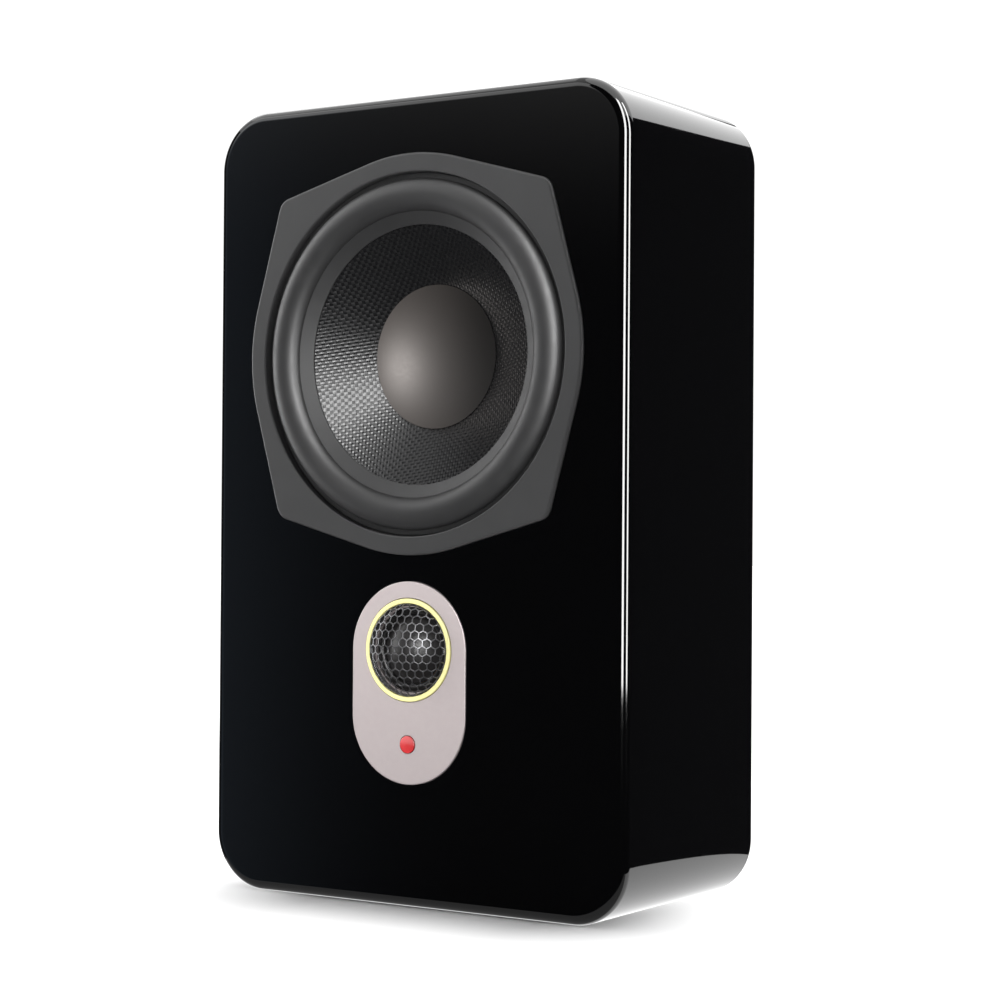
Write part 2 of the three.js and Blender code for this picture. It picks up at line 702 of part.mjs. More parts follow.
// ---------------------------------------------------------------- rear terminals
const FLANGE_OUT = DEPTH - 0.1;
const FLANGE_IN = DEPTH - 2.3;
const RECESS_WIDTH = 50;
const RECESS_HEIGHT = 36;
const RECESS_FLOOR = 80;
const CUP_FLOOR = 2.5;
const COLLAR_R = 6;
const COLLAR_END = RECESS_FLOOR + GAP + 2.7;
const WASHER_R = 6.2;
const WASHER_END = COLLAR_END + GAP + 1.2;
const STUD_FRONT = 67;
const STUD_END = 93.6;
const STUD_EDGE = 0.6;
const NUT_THICKNESS = 4;
const KNOB_R = 7;
const KNOB_END = 96.6;
const KNOB_BORE_END = 94;
const CUP_SCREW_HEAD_R = 2.8;

function terminalCup() {
  const flange = plate(roundedRectangle(CUP_WIDTH, CUP_HEIGHT, CUP_CORNER_R), FLANGE_IN, FLANGE_OUT);
  const bodyOutline = roundedRectangle(CUP_BODY_WIDTH, CUP_BODY_HEIGHT, CUP_BODY_CORNER_R);
  const body = plate(bodyOutline, RECESS_FLOOR - CUP_FLOOR, FLANGE_OUT);
  const recess = plate(roundedRectangle(RECESS_WIDTH, RECESS_HEIGHT, 5), RECESS_FLOOR, DEPTH + 1);
  const studHoles = [-POST_OFFSET, POST_OFFSET].map((x) => (
    disc(POST_R + GAP, STUD_FRONT, DEPTH, COARSE, x)
  ));
  const screwHoles = cupScrewPlaces().map(([x, z]) => cupScrew(GAP, 1).translate([x, 0, z]));
  return without(joined([flange, body]), [recess, ...studHoles, ...screwHoles]);
}

function cupGasket() {
  const outline = roundedRectangle(CUP_WIDTH - 2 * GAP, CUP_HEIGHT - 2 * GAP, CUP_CORNER_R - GAP);
  outline.holes.push(cupCutout());
  const holes = cupScrewPlaces().map(([x, z]) => disc(CUP_SCREW_R + GAP, 90, DEPTH, 8, x, z));
  return without(plate(outline, FLANGE_IN - GAP - 1, FLANGE_IN - GAP), holes);
}

// Countersunk from behind: the head's face lies flush with the flange and the tip points forwards.
function cupScrew(grow = 0, reach = 0) {
  const tip = DEPTH - WALL + 3;
  const shankR = CUP_SCREW_R + grow;
  const headR = CUP_SCREW_HEAD_R + grow;
  return turned([
    [0, tip], [shankR, tip + 1], [shankR, FLANGE_OUT - 1.6],
    [headR, FLANGE_OUT - 0.2], [headR, FLANGE_OUT + reach], [0, FLANGE_OUT + reach],
  ], 8);
}

// Stud with an insulating flange that seats on the recess floor, and its tail inside the cabinet.
function postStud() {
  const collarFront = RECESS_FLOOR + GAP;
  const tipR = POST_R - STUD_EDGE;
  return turned([
    [0, STUD_FRONT], [tipR, STUD_FRONT], [POST_R, STUD_FRONT + 1], [POST_R, collarFront],
    [COLLAR_R, collarFront], [COLLAR_R, COLLAR_END], [POST_R, COLLAR_END], [POST_R, STUD_END - STUD_EDGE],
    [tipR, STUD_END], [0, STUD_END],
  ], COARSE);
}

function postNut() {
  const inside = RECESS_FLOOR - CUP_FLOOR - GAP;
  const hexagon = disc(6.2, inside - NUT_THICKNESS, inside, 6);
  return without(hexagon, [disc(POST_R + GAP, inside - NUT_THICKNESS - 1, inside + 1, COARSE)]);
}

// Knob with twelve finger flutes round a blind threaded bore.
function postKnob() {
  const outline = new THREE.Shape();
  const flutes = 12;
  const valleyR = KNOB_R - 0.5;
  for (let i = 0; i < flutes; i += 1) {
    const start = (i * 2 * Math.PI) / flutes;
    const crest = (1.1 * Math.PI) / flutes;
    const valley = (1.55 * Math.PI) / flutes;
    outline.absarc(0, 0, KNOB_R, start, start + crest, false);
    outline.lineTo(valleyR * Math.cos(start + valley), valleyR * Math.sin(start + valley));
  }
  outline.closePath();
  const rounding = { edge: 0.8, roundBack: true, steps: 1, curve: 1 };
  const body = plate(outline, WASHER_END + GAP, KNOB_END, rounding);
  return without(body, [disc(POST_R + GAP, RECESS_FLOOR, KNOB_BORE_END, COARSE)]);
}

place(terminals, "terminal_cup", terminalCup(), MOULDED_BLACK);
place(terminals, "terminal_cup_gasket", cupGasket(), FOAM);
cupScrewPlaces().forEach(([x, z], i) => {
  place(terminals, `terminal_cup_screw_${i + 1}`, cupScrew(), ZINC_SCREW, x, 0, z);
});

function postWasher() {
  return ring(POST_R + GAP, WASHER_R, COLLAR_END + GAP, WASHER_END, COARSE);
}

function placePost(colour, x, knobMaterial) {
  place(terminals, `post_stud_${colour}`, postStud(), POST_METAL, x);
  place(terminals, `post_nut_${colour}`, postNut(), POST_METAL, x);
  place(terminals, `post_washer_${colour}`, postWasher(), POST_METAL, x);
  place(terminals, `post_knob_${colour}`, postKnob(), knobMaterial, x);
}

placePost("red", POST_OFFSET, KNOB_RED);
placePost("black", -POST_OFFSET, KNOB_BLACK);

// ---------------------------------------------------------------- crossover, on the cabinet's floor
const BOARD_THICKNESS = 1.6;
const BOARD_TOP = 2 * GAP + BOARD_THICKNESS;

// A ring-shaped coil standing on the board, its axis upright.
function inductor(innerR, outerR, height) {
  const section = [
    [innerR, 0], [outerR - 1, 0], [outerR, 1], [outerR, height - 1], [outerR - 1, height],
    [innerR, height], [innerR, 0],
  ];
  const coil = new THREE.LatheGeometry(section.map(([radius, z]) => new THREE.Vector2(radius, z)), COARSE);
  coil.rotateX(Math.PI / 2);
  return toSolid(coil);
}

// A film capacitor lying along X.
function capacitor(radius, length) {
  const can = new THREE.CylinderGeometry(radius, radius, length, COARSE);
  can.rotateZ(Math.PI / 2);
  return toSolid(can);
}

function twinSection() {
  const outline = new THREE.Shape();
  outline.absarc(CORE_R, 0, CORE_R, -Math.PI / 2, Math.PI / 2, false);
  outline.absarc(-CORE_R, 0, CORE_R, Math.PI / 2, 1.5 * Math.PI, false);
  outline.closePath();
  return outline;
}

function board() {
  return box(132, 22, 74, BOARD_THICKNESS, 0, GAP + BOARD_THICKNESS / 2);
}

place(crossover, "crossover_board", board(), BOARD_GREEN);
place(crossover, "inductor_woofer", inductor(9, 19, 18), COPPER, -44, 48, BOARD_TOP);
place(crossover, "inductor_tweeter", inductor(6, 13, 12), COPPER, 50, 38, BOARD_TOP);
place(crossover, "capacitor_woofer", capacitor(9, 34), FILM_YELLOW, 4, 62, BOARD_TOP + 9);
place(crossover, "capacitor_tweeter", capacitor(7, 26), FILM_YELLOW, -4, 34, BOARD_TOP + 7);
place(crossover, "resistor", box(10, -22, 22, 9, 0, 4.5), CEMENT, 32, 48, BOARD_TOP);

// ---------------------------------------------------------------- internal twin-core leads
const LEAD_END_Z = WALL + BOARD_TOP + GAP;
const CORE_R = 1.2;

place(cabinet, "woofer_lead", cable([
  [0, 38, WOOFER_Z - 49.4], [1, 39, 150], [20, 44, 141], [36, 46, 128], [48, 46, 100], [54, 54, 60],
  [54, 58, LEAD_END_Z],
], twinSection(), 16), CABLE_JACKET);
place(cabinet, "tweeter_lead", cable([
  [0, HOUSING_BACK + GAP, TWEETER_Z], [0, 28, TWEETER_Z - 3], [-6, 34, 80], [-20, 34, 56],
  [-22, 30, LEAD_END_Z],
], twinSection(), 10), CABLE_JACKET);
place(cabinet, "input_lead", cable([
  [0, 73, TERMINAL_Z], [0, 68, TERMINAL_Z - 4], [-4, 62, 56], [-14, 56, 40], [-16, 48, LEAD_END_Z],
], twinSection(), 9), CABLE_JACKET);

export default speaker;
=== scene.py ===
"""The looks of a two-way bookshelf speaker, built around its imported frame.

Lengths of the pieces are millimetres. A depth is measured backwards from the baffle's front face, and an
outline is a list of (x, z) points round its own centre. Pieces are turned into the row frame's metres in one
place, to_row(). The camera and the studio are given in metres.
"""
import json
import math

import bmesh
import bpy
import numpy as np
from mathutils import Matrix, Vector


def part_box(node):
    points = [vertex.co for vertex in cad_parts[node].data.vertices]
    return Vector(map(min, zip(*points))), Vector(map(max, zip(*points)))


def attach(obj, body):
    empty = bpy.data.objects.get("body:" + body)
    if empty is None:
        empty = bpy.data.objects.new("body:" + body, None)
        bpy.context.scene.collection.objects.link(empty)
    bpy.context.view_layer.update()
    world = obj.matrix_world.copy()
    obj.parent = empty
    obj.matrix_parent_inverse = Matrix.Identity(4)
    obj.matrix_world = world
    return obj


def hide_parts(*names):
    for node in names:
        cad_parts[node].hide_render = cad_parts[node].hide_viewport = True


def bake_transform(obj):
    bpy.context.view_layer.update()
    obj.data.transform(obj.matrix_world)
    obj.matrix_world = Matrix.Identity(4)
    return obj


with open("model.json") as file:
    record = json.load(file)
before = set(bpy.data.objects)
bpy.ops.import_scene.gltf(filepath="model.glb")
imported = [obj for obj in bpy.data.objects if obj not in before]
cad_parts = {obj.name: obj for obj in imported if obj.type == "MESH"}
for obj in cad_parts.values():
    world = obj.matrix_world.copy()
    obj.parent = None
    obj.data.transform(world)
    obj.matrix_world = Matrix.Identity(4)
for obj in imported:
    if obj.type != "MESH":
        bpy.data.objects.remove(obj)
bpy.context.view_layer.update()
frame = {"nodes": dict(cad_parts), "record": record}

MM = 0.001
FRONT_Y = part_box("front_baffle")[0].y
SHARP_DEG = 34
TURN_STEPS = 192


# ---------------------------------------------------------------- places taken from the frame
def size_of(node):
    low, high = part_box(node)
    return [(high[i] - low[i]) / MM for i in range(3)]


def centre_of(node):
    low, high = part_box(node)
    return (low.x + high.x) / 2 / MM, (low.z + high.z) / 2 / MM


def depths_of(node):
    low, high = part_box(node)
    return (low.y - FRONT_Y) / MM, (high.y - FRONT_Y) / MM


WIDTH, _, HEIGHT = size_of("cabinet_shell")
CABINET = centre_of("cabinet_shell")
SEAM = depths_of("front_baffle")[1]
DEPTH = depths_of("cabinet_shell")[1]
CORNER_R = 22
FRONT_EDGE_R = 4
REAR_EDGE_R = 1.5
WALL = 12
GAP = 0.3
WOOFER = centre_of("woofer_trim_ring")
TRIM_R = size_of("woofer_trim_ring")[0] / 2
TWEETER = centre_of("tweeter_trim_ring")
PLATE_R = size_of("tweeter_faceplate")[0] / 2
PLATE_DROP = size_of("tweeter_faceplate")[2] - 2 * PLATE_R
TERMINALS = centre_of("terminal_cup")


# ---------------------------------------------------------------- camera
CAMERA_AT = Vector((0.4953, -0.7507, 0.1404))
CAMERA_YAW = math.radians(32.997)
CAMERA_PITCH = math.radians(0.66)
CAMERA_ROLL = math.radians(0.384)
CAMERA_LENS = 83.8
SENSOR_WIDTH = 36


def make_camera():
    data = bpy.data.cameras.new("camera")
    data.lens = CAMERA_LENS
    data.sensor_width = SENSOR_WIDTH
    camera = bpy.data.objects.new("camera", data)
    bpy.context.scene.collection.objects.link(camera)
    ahead = Vector((
        -math.sin(CAMERA_YAW) * math.cos(CAMERA_PITCH),
        math.cos(CAMERA_YAW) * math.cos(CAMERA_PITCH),
        math.sin(CAMERA_PITCH),
    ))
    level = Vector((math.cos(CAMERA_YAW), math.sin(CAMERA_YAW), 0))
    upright = level.cross(ahead)
    right = math.cos(CAMERA_ROLL) * level + math.sin(CAMERA_ROLL) * upright
    up = math.cos(CAMERA_ROLL) * upright - math.sin(CAMERA_ROLL) * level
    turn = Matrix((right, up, -ahead)).transposed()
    camera.matrix_world = Matrix.Translation(CAMERA_AT) @ turn.to_4x4()
    bpy.context.scene.camera = camera


make_camera()
bpy.context.scene.view_settings.view_transform = "Standard"


# ---------------------------------------------------------------- mesh code
def to_row(points):
    """(x, depth, z) in millimetres to the row frame in metres."""
    row = np.array(points, float) * MM
    row[:, 1] += FRONT_Y
    return row


def shade(obj, sharp_deg=SHARP_DEG):
    """Smooth, with creases kept and flat faces left flat."""
    obj.data.shade_smooth()
    obj.data.set_sharp_from_angle(angle=math.radians(sharp_deg))
    normals = obj.modifiers.new("normals", "WEIGHTED_NORMAL")
    normals.keep_sharp = True
    return obj


def build(name, points, faces, sharp_deg=SHARP_DEG):
    mesh = bpy.data.meshes.new(name)
    mesh.from_pydata(to_row(points), [], faces)
    clean = bmesh.new()
    clean.from_mesh(mesh)
    bmesh.ops.remove_doubles(clean, verts=clean.verts, dist=1e-7)
    bmesh.ops.recalc_face_normals(clean, faces=clean.faces)
    clean.to_mesh(mesh)
    clean.free()
    obj = bpy.data.objects.new(name, mesh)
    bpy.context.scene.collection.objects.link(obj)
    return shade(obj, sharp_deg)


def bands(band_count, ring_count, count):
    """The faces between rings of `count` points. The band after the last ring leads to the first."""
    faces = []
    for k in range(band_count):
        this = k * count
        following = (k + 1) % ring_count * count
        for i in range(count):
            j = (i + 1) % count
            faces.append((this + i, this + j, following + j, following + i))
    return faces


def loft(name, rings, closed=False, **options):
    """A skin over rings of equally many points: capped at both ends, or closed from the last to the first."""
    count = len(rings[0])
    faces = bands(len(rings) if closed else len(rings) - 1, len(rings), count)
    if not closed:
        faces.append(tuple(range(count)))
        faces.append(tuple(range((len(rings) - 1) * count, len(rings) * count)))
    return build(name, np.concatenate(rings), faces, **options)


def ring(outline, depth, centre=(0, 0)):
    """A front-view outline set at a depth, round a centre."""
    outline = np.asarray(outline, float)
    points = np.empty((len(outline), 3))
    points[:, 0] = centre[0] + outline[:, 0]
    points[:, 1] = depth
    points[:, 2] = centre[1] + outline[:, 1]
    return points


def circle(radius, count=TURN_STEPS):
    angle = np.arange(count) * 2 * math.pi / count
    return np.column_stack((radius * np.cos(angle), radius * np.sin(angle)))


def turned(name, profile, centre, count=TURN_STEPS, **options):
    """A piece turned from (radius, depth) pairs. One that starts on the axis ends there too."""
    rings = [ring(circle(radius, count), depth, centre) for radius, depth in profile]
    if profile[0][0] > 0:
        return loft(name, rings, closed=True, **options)
    return build(name, np.concatenate(rings), bands(len(rings) - 1, len(rings), count), **options)


def rounded(corners, steps=6, closed=True):
    """The corners (a, b, radius) of a section, each turned into an arc of its radius."""
    points = []
    last = len(corners) - 1
    for i, (a, b, radius) in enumerate(corners):
        here = np.array((a, b), float)
        if radius == 0 or (not closed and i in (0, last)):
            points.append(tuple(here))
            continue
        before = np.array(corners[i - 1][:2]) - here
        after = np.array(corners[(i + 1) % len(corners)][:2]) - here
        before /= np.linalg.norm(before)
        after /= np.linalg.norm(after)
        half = math.acos(np.clip(before @ after, -1, 1)) / 2
        middle = here + (before + after) / np.linalg.norm(before + after) * radius / math.sin(half)
        start = here + before * radius / math.tan(half) - middle
        end = here + after * radius / math.tan(half) - middle
        sweep = math.pi - 2 * half
        for k in range(steps + 1):
            t = k / steps
            arm = (math.sin((1 - t) * sweep) * start + math.sin(t * sweep) * end) / math.sin(sweep)
            points.append(tuple(middle + arm))
    return points


def arc(centre, reach, from_deg, to_deg, steps):
    """Points of an arc round (a, b). Its reach is a radius, or the two half-axes of an ellipse."""
    reach_a, reach_b = np.broadcast_to(reach, 2)
    angles = np.radians(np.linspace(from_deg, to_deg, steps + 1))
    return [(centre[0] + reach_a * math.cos(t), centre[1] + reach_b * math.sin(t)) for t in angles]


def cut(obj, *cutters):
    """Takes the cutters away from the piece, and removes them."""
    obj.modifiers.clear()
    for cutter in cutters:
        cutter.modifiers.clear()
        step = obj.modifiers.new("cut", "BOOLEAN")
        step.operation = "DIFFERENCE"
        step.solver = "EXACT"
        step.object = cutter
    bpy.context.view_layer.update()
    whole = obj.evaluated_get(bpy.context.evaluated_depsgraph_get())
    mesh = bpy.data.meshes.new_from_object(whole)
    obj.modifiers.clear()
    obj.data = mesh
    for cutter in cutters:
        bpy.data.objects.remove(cutter)
    return shade(obj)


# ---------------------------------------------------------------- outlines
def rounded_rectangle(width, height, radius, per_corner=24):
    points = []
    for quarter, (side_x, side_z) in enumerate(((1, -1), (1, 1), (-1, 1), (-1, -1))):
        middle = (side_x * (width / 2 - radius), side_z * (height / 2 - radius))
        start = 90 * quarter - 90
        points += arc(middle, radius, start, start + 90, per_corner)
    return points


def stadium(radius, drop, per_half=96):
    """Two half circles joined by straight sides, the lower one `drop` below the centre."""
    top = arc((0, 0), radius, 0, 180, per_half)
    return top + arc((0, -drop), radius, 180, 360, per_half)


EAR_OFFSET = 55.5
EAR_R = 6
EAR_COUNT = 720


def eared(body_radius, ear_radius):
    """A circle with four corner ears and the tangents that join them, as one point for each polar angle."""
    reach = math.hypot(EAR_OFFSET, EAR_OFFSET)
    spread = math.acos((body_radius - ear_radius) / reach)
    touch = math.atan2(ear_radius * math.sin(spread), reach + ear_radius * math.cos(spread))
    angle = np.arange(EAR_COUNT) * 2 * math.pi / EAR_COUNT
    off = np.abs((angle % (math.pi / 2)) - math.pi / 4)
    ear = reach * np.cos(off) + np.sqrt(np.maximum(ear_radius**2 - (reach * np.sin(off)) ** 2, 0))
    side = body_radius / np.cos(np.minimum(spread - np.minimum(off, spread), 1.5))
    radius = np.where(off > spread, body_radius, np.where(off > touch, side, ear))
    return np.column_stack((radius * np.cos(angle), radius * np.sin(angle)))


# ---------------------------------------------------------------- materials
def add_node(tree, kind, inputs=None, **settings):
    """A shader node with its settings. An input is a value or the output of another node."""
    node = tree.nodes.new("ShaderNode" + kind)
    for key, value in settings.items():
        setattr(node, key, value)
    for key, value in (inputs or {}).items():
        if isinstance(value, bpy.types.NodeSocket):
            tree.links.new(value, node.inputs[key])
        else:
            node.inputs[key].default_value = value
    return node


class Finish:
    """A Principled material under construction. Its methods add nodes and give their outputs."""

    def __init__(self, name, color, roughness, metallic=0.0, **sockets):
        self.material = bpy.data.materials.new(name)
        self.material.use_nodes = True
        self.tree = self.material.node_tree
        self.shader = self.tree.nodes["Principled BSDF"]
        self.shader.inputs["Base Color"].default_value = (*color, 1)
        self.shader.inputs["Roughness"].default_value = roughness
        self.shader.inputs["Metallic"].default_value = metallic
        for socket, value in sockets.items():
            self.shader.inputs[socket.replace("_", " ")].default_value = value
        self.where = self.add("TexCoord").outputs["Object"]
        self.normal = None

    def add(self, kind, inputs=None, **settings):
        return add_node(self.tree, kind, inputs, **settings)

    def stretched(self, x, y, z):
        return self.add("Mapping", {"Vector": self.where, "Scale": (x, y, z)}).outputs[0]

    def noise(self, per_mm, detail=3.0, where=None):
        """Noise with that many features to the millimetre."""
        inputs = {"Vector": where or self.where, "Scale": per_mm / MM, "Detail": detail}
        return self.add("TexNoise", inputs).outputs[0]

    def math(self, operation, a, b=0.0):
        return self.add("Math", {0: a, 1: b}, operation=operation).outputs[0]

    def wave(self, axis, per_mm):
        """A sine along one axis, with that many waves to the millimetre."""
        axes = self.add("SeparateXYZ", {0: self.where})
        return self.math("SINE", self.math("MULTIPLY", axes.outputs[axis], 2 * math.pi * per_mm / MM))

    def weave(self, per_mm):
        """A square weave, as its height from -1 to 1."""
        return self.math("MULTIPLY", self.wave("X", per_mm), self.wave("Z", per_mm))

    def dot(self, a, b):
        return self.add("VectorMath", {0: a, 1: b}, operation="DOT_PRODUCT").outputs["Value"]

    def ranged(self, value, low, high, from_low=0.0, from_high=1.0):
        inputs = {"Value": value, "From Min": from_low, "From Max": from_high, "To Min": low, "To Max": high}
        return self.add("MapRange", inputs).outputs[0]

    def tint(self, factor, color_a, color_b):
        """The colour goes from one to the other with the factor."""
        inputs = {0: factor, 6: (*color_a, 1), 7: (*color_b, 1)}
        mixed = self.add("Mix", inputs, data_type="RGBA").outputs[2]
        self.tree.links.new(mixed, self.shader.inputs["Base Color"])

    def roughness(self, output):
        self.tree.links.new(output, self.shader.inputs["Roughness"])

    def sheen(self, source, low, high):
        """The roughness goes from low to high over the middle range of a noise."""
        self.roughness(self.ranged(source, low, high, 0.3, 0.7))

    def bump(self, height, distance_mm, strength=1.0):
        inputs = {"Height": height, "Distance": distance_mm * MM, "Strength": strength}
        if self.normal is not None:
            inputs["Normal"] = self.normal
        self.normal = self.add("Bump", inputs).outputs[0]
        self.tree.links.new(self.normal, self.shader.inputs["Normal"])
        return self


def toned(color, gain):
    return tuple(min(1.0, c * gain) for c in color)


def lacquer():
    """Polished black lacquer: nearly flat, with the faint long ripple of a rubbed-out finish."""
    made = Finish("gloss_black_lacquer", (0.0008, 0.0008, 0.0009), 0.04, IOR=1.5)
    made.sheen(made.noise(0.02, 4), 0.025, 0.06)
    made.tint(made.noise(0.05, 2), (0.0006, 0.0006, 0.0007), (0.001, 0.001, 0.0012))
    return made.bump(made.noise(0.09, 1), 0.006, 0.35).material


def moulded(name, color, roughness, grain_per_mm=2.5, grain_mm=0.02, spread=0.07):
    """Moulded plastic or rubber with a fine spark-eroded grain and slight uneven sheen."""
    made = Finish(name, color, roughness)
    patch = made.noise(0.06, 5)
    made.tint(patch, toned(color, 0.88), toned(color, 1.14))
    made.sheen(made.noise(0.25, 5), roughness - spread, roughness + spread)
    made.bump(made.noise(grain_per_mm, 3), grain_mm, 0.6)
    return made.material


def metal(name, color, roughness, metallic=0.9, brush=(1, 1, 1), spread=0.08):
    """Plated or machined metal: brush stretches the scratches along one axis."""
    made = Finish(name, color, roughness, metallic)
    lines = made.noise(1.2, 6, made.stretched(*brush))
    made.tint(made.noise(0.12, 4), toned(color, 0.85), toned(color, 1.1))
    made.sheen(lines, roughness - spread, roughness + spread)
    return made.bump(lines, 0.006, 0.5).material


def coarse(name, color, roughness, per_mm, depth_mm, contrast=0.25):
    """A fibrous, cast or pressed surface: uneven in colour and in height."""
    made = Finish(name, color, roughness)
    grain = made.noise(per_mm, 8)
    made.tint(grain, toned(color, 1 - contrast), toned(color, 1 + contrast))
    made.sheen(grain, roughness - 0.1, min(1.0, roughness + 0.08))
    return made.bump(grain, depth_mm, 0.8).material


YARN_PITCH = 1.27
YARN_TURN = math.radians(9.5)
FIBRES_PER_YARN = 9
SILK_THREADS_PER_MM = 3
COTTON_THREADS_PER_MM = 1.4
WIRES_PER_MM = 2.2


def woven_fibre():
    """Resin-bonded plain weave along the woven relief: glossy weft floats between duller warp floats."""
    made = Finish("woven_cone_fibre", (0.012, 0.012, 0.013), 0.3, Specular_IOR_Level=0.6)
    centre = (WOOFER[0] * MM, 0, WOOFER[1] * MM)
    from_axis = made.add("VectorMath", {0: made.where, 1: centre}, operation="SUBTRACT").outputs[0]
    scale = 1 / MM / YARN_PITCH
    turn = (math.cos(YARN_TURN) * scale, math.sin(YARN_TURN) * scale)
    across = made.dot(from_axis, (turn[0], 0, turn[1]))
    along = made.dot(from_axis, (-turn[1], 0, turn[0]))
    square = made.math("ADD", made.math("FLOOR", across), made.math("FLOOR", along))
    weft_on_top = made.math("MULTIPLY", made.math("FRACT", made.math("MULTIPLY", square, 0.5)), 2.0)
    warp_part = made.math("MULTIPLY", across, made.math("SUBTRACT", 1.0, weft_on_top))
    weft_part = made.math("MULTIPLY", along, weft_on_top)
    run = made.math("MULTIPLY", made.math("ADD", warp_part, weft_part), FIBRES_PER_YARN * 2 * math.pi)
    fibres = made.math("ADD", made.math("MULTIPLY", made.math("SINE", run), 0.5), 0.5)
    made.tint(made.noise(0.8, 4), (0.003, 0.003, 0.0034), (0.007, 0.007, 0.0075))
    sheen = made.ranged(made.noise(1.1, 3), 0.16, 0.26, 0.3, 0.7)
    made.roughness(made.math("ADD", sheen, made.ranged(weft_on_top, 0.24, 0.0, 0.0, 1.0)))
    return made.bump(fibres, 0.006, 0.4).material


def dust_cap_finish():
    """Matt doped cap: a fine pebbled grain with a soft sheen."""
    made = Finish("dust_cap_finish", (0.03, 0.0275, 0.026), 0.58, Specular_IOR_Level=0.5)
    made.tint(made.noise(0.9, 6), (0.027, 0.025, 0.0235), (0.033, 0.03, 0.0285))
    made.sheen(made.noise(0.9, 5), 0.56, 0.6)
    return made.bump(made.noise(3.2, 3), 0.012, 0.5).material


def faceplate_finish():
    """Bead-blasted, silver-anodised plate."""
    made = Finish("silver_faceplate", (0.36, 0.315, 0.315), 0.42, 0.3)
    made.tint(made.noise(0.4, 6), (0.345, 0.3, 0.3), (0.375, 0.328, 0.328))
    made.sheen(made.noise(4, 2), 0.42, 0.54)
    return made.bump(made.noise(5, 2), 0.008, 0.35).material


def silk():
    """Coated silk: a fine square weave under a soft, slightly glossy coating."""
    made = Finish("coated_silk", (0.012, 0.011, 0.011), 0.36)
    weave = made.weave(SILK_THREADS_PER_MM)
    made.roughness(made.ranged(weave, 0.32, 0.42, -1.0, 1.0))
    made.tint(made.noise(0.3, 3), (0.009, 0.008, 0.008), (0.015, 0.014, 0.014))
    return made.bump(weave, 0.01, 0.6).material


def wound_copper():
    """Enamelled wire in close layers."""
    made = Finish("enamelled_copper", (0.55, 0.22, 0.08), 0.3, 0.9)
    wires = made.math("ADD", made.wave("Y", WIRES_PER_MM), made.wave("Z", WIRES_PER_MM / 2))
    made.tint(made.ranged(wires, 0, 1, -2, 2), (0.35, 0.12, 0.04), (0.68, 0.3, 0.11))
    made.sheen(made.noise(0.5), 0.22, 0.4)
    return made.bump(wires, 0.05, 0.7).material


def spider_cloth():
    """Resin-stiffened open cotton weave."""
    made = Finish("spider_cloth", (0.42, 0.26, 0.08), 0.8)
    weave = made.weave(COTTON_THREADS_PER_MM)
    made.tint(made.ranged(weave, 0, 1, -1, 1), (0.24, 0.14, 0.04), (0.5, 0.32, 0.11))
    made.sheen(made.noise(0.6), 0.7, 0.92)
    return made.bump(weave, 0.08, 0.7).material


FINISHES = {
    "lacquer": lacquer(),
    "raw_board": coarse("raw_fibreboard", (0.36, 0.23, 0.12), 0.85, 0.7, 0.1),
    "wadding": coarse("polyester_wadding", (0.68, 0.66, 0.6), 0.95, 0.25, 1.2, 0.18),
    "satin_trim": moulded("satin_trim", (0.0545, 0.0545, 0.0557), 0.44, 2.2, 0.012, 0.04),
    "cast_frame": coarse("cast_frame", (0.025, 0.026, 0.028), 0.55, 1.5, 0.05),
    "foam": coarse("closed_cell_foam", (0.014, 0.014, 0.014), 0.93, 1.2, 0.25),
    "screw_steel": metal("blackened_screw", (0.05, 0.05, 0.055), 0.34, 0.8),
    "butyl_rubber": moulded("butyl_rubber", (0.026, 0.026, 0.027), 0.5, 1.4, 0.012, 0.04),
    "woven_fibre": woven_fibre(),
    "cap_plastic": dust_cap_finish(),
    "spider_cloth": spider_cloth(),
    "former_foil": metal("former_foil", (0.72, 0.73, 0.75), 0.34, 0.95, (1, 8, 1)),
    "copper_wire": wound_copper(),
    "plated_steel": metal("plated_steel", (0.55, 0.56, 0.57), 0.34, 0.95),
    "ferrite": coarse("ferrite", (0.03, 0.03, 0.032), 0.62, 0.9, 0.05),
    "neodymium": metal("neodymium_plating", (0.68, 0.7, 0.72), 0.22, 1.0),
    "phenolic": coarse("phenolic_strip", (0.13, 0.05, 0.02), 0.6, 1.8, 0.03),
    "silver_plate": faceplate_finish(),
    "gold_ring": moulded("pale_gold_ring", (0.81, 0.76, 0.32), 0.4, 3.0, 0.006, 0.06),
    "grille_steel": metal("gunmetal_mesh", (0.13, 0.13, 0.135), 0.34, 0.85),
    "silk": silk(),
    "moulded_black": moulded("moulded_black", (0.016, 0.016, 0.017), 0.5, 1.8, 0.02),
    "enamel_red": moulded("red_enamel", (0.52, 0.025, 0.028), 0.22, 1.0, 0.01, 0.05),
    "post_metal": metal("post_metal", (0.72, 0.48, 0.18), 0.24, 1.0),
    "knob_red": moulded("red_knob_plastic", (0.42, 0.012, 0.014), 0.34, 2.0, 0.015),
    "knob_black": moulded("black_knob_plastic", (0.014, 0.014, 0.015), 0.34, 2.0, 0.015),
    "board_green": coarse("solder_mask", (0.02, 0.09, 0.035), 0.42, 0.8, 0.03),
    "film_yellow": moulded("film_wrap", (0.62, 0.4, 0.03), 0.42, 0.8, 0.04),
    "cement": coarse("ceramic_cement", (0.62, 0.6, 0.54), 0.88, 1.6, 0.12, 0.12),
    "cable_jacket": moulded("cable_jacket", (0.025, 0.025, 0.028), 0.45, 1.2, 0.02),
}


def finished(obj, slot):
    obj.data.materials.clear()
    obj.data.materials.append(FINISHES[slot])
    return obj


def stand_for(obj, body, slot, *nodes):
    """The piece rides on its body, wears the slot's finish and takes the place of its CAD nodes."""
    finished(obj, slot)
    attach(obj, body)
    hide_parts(*nodes)


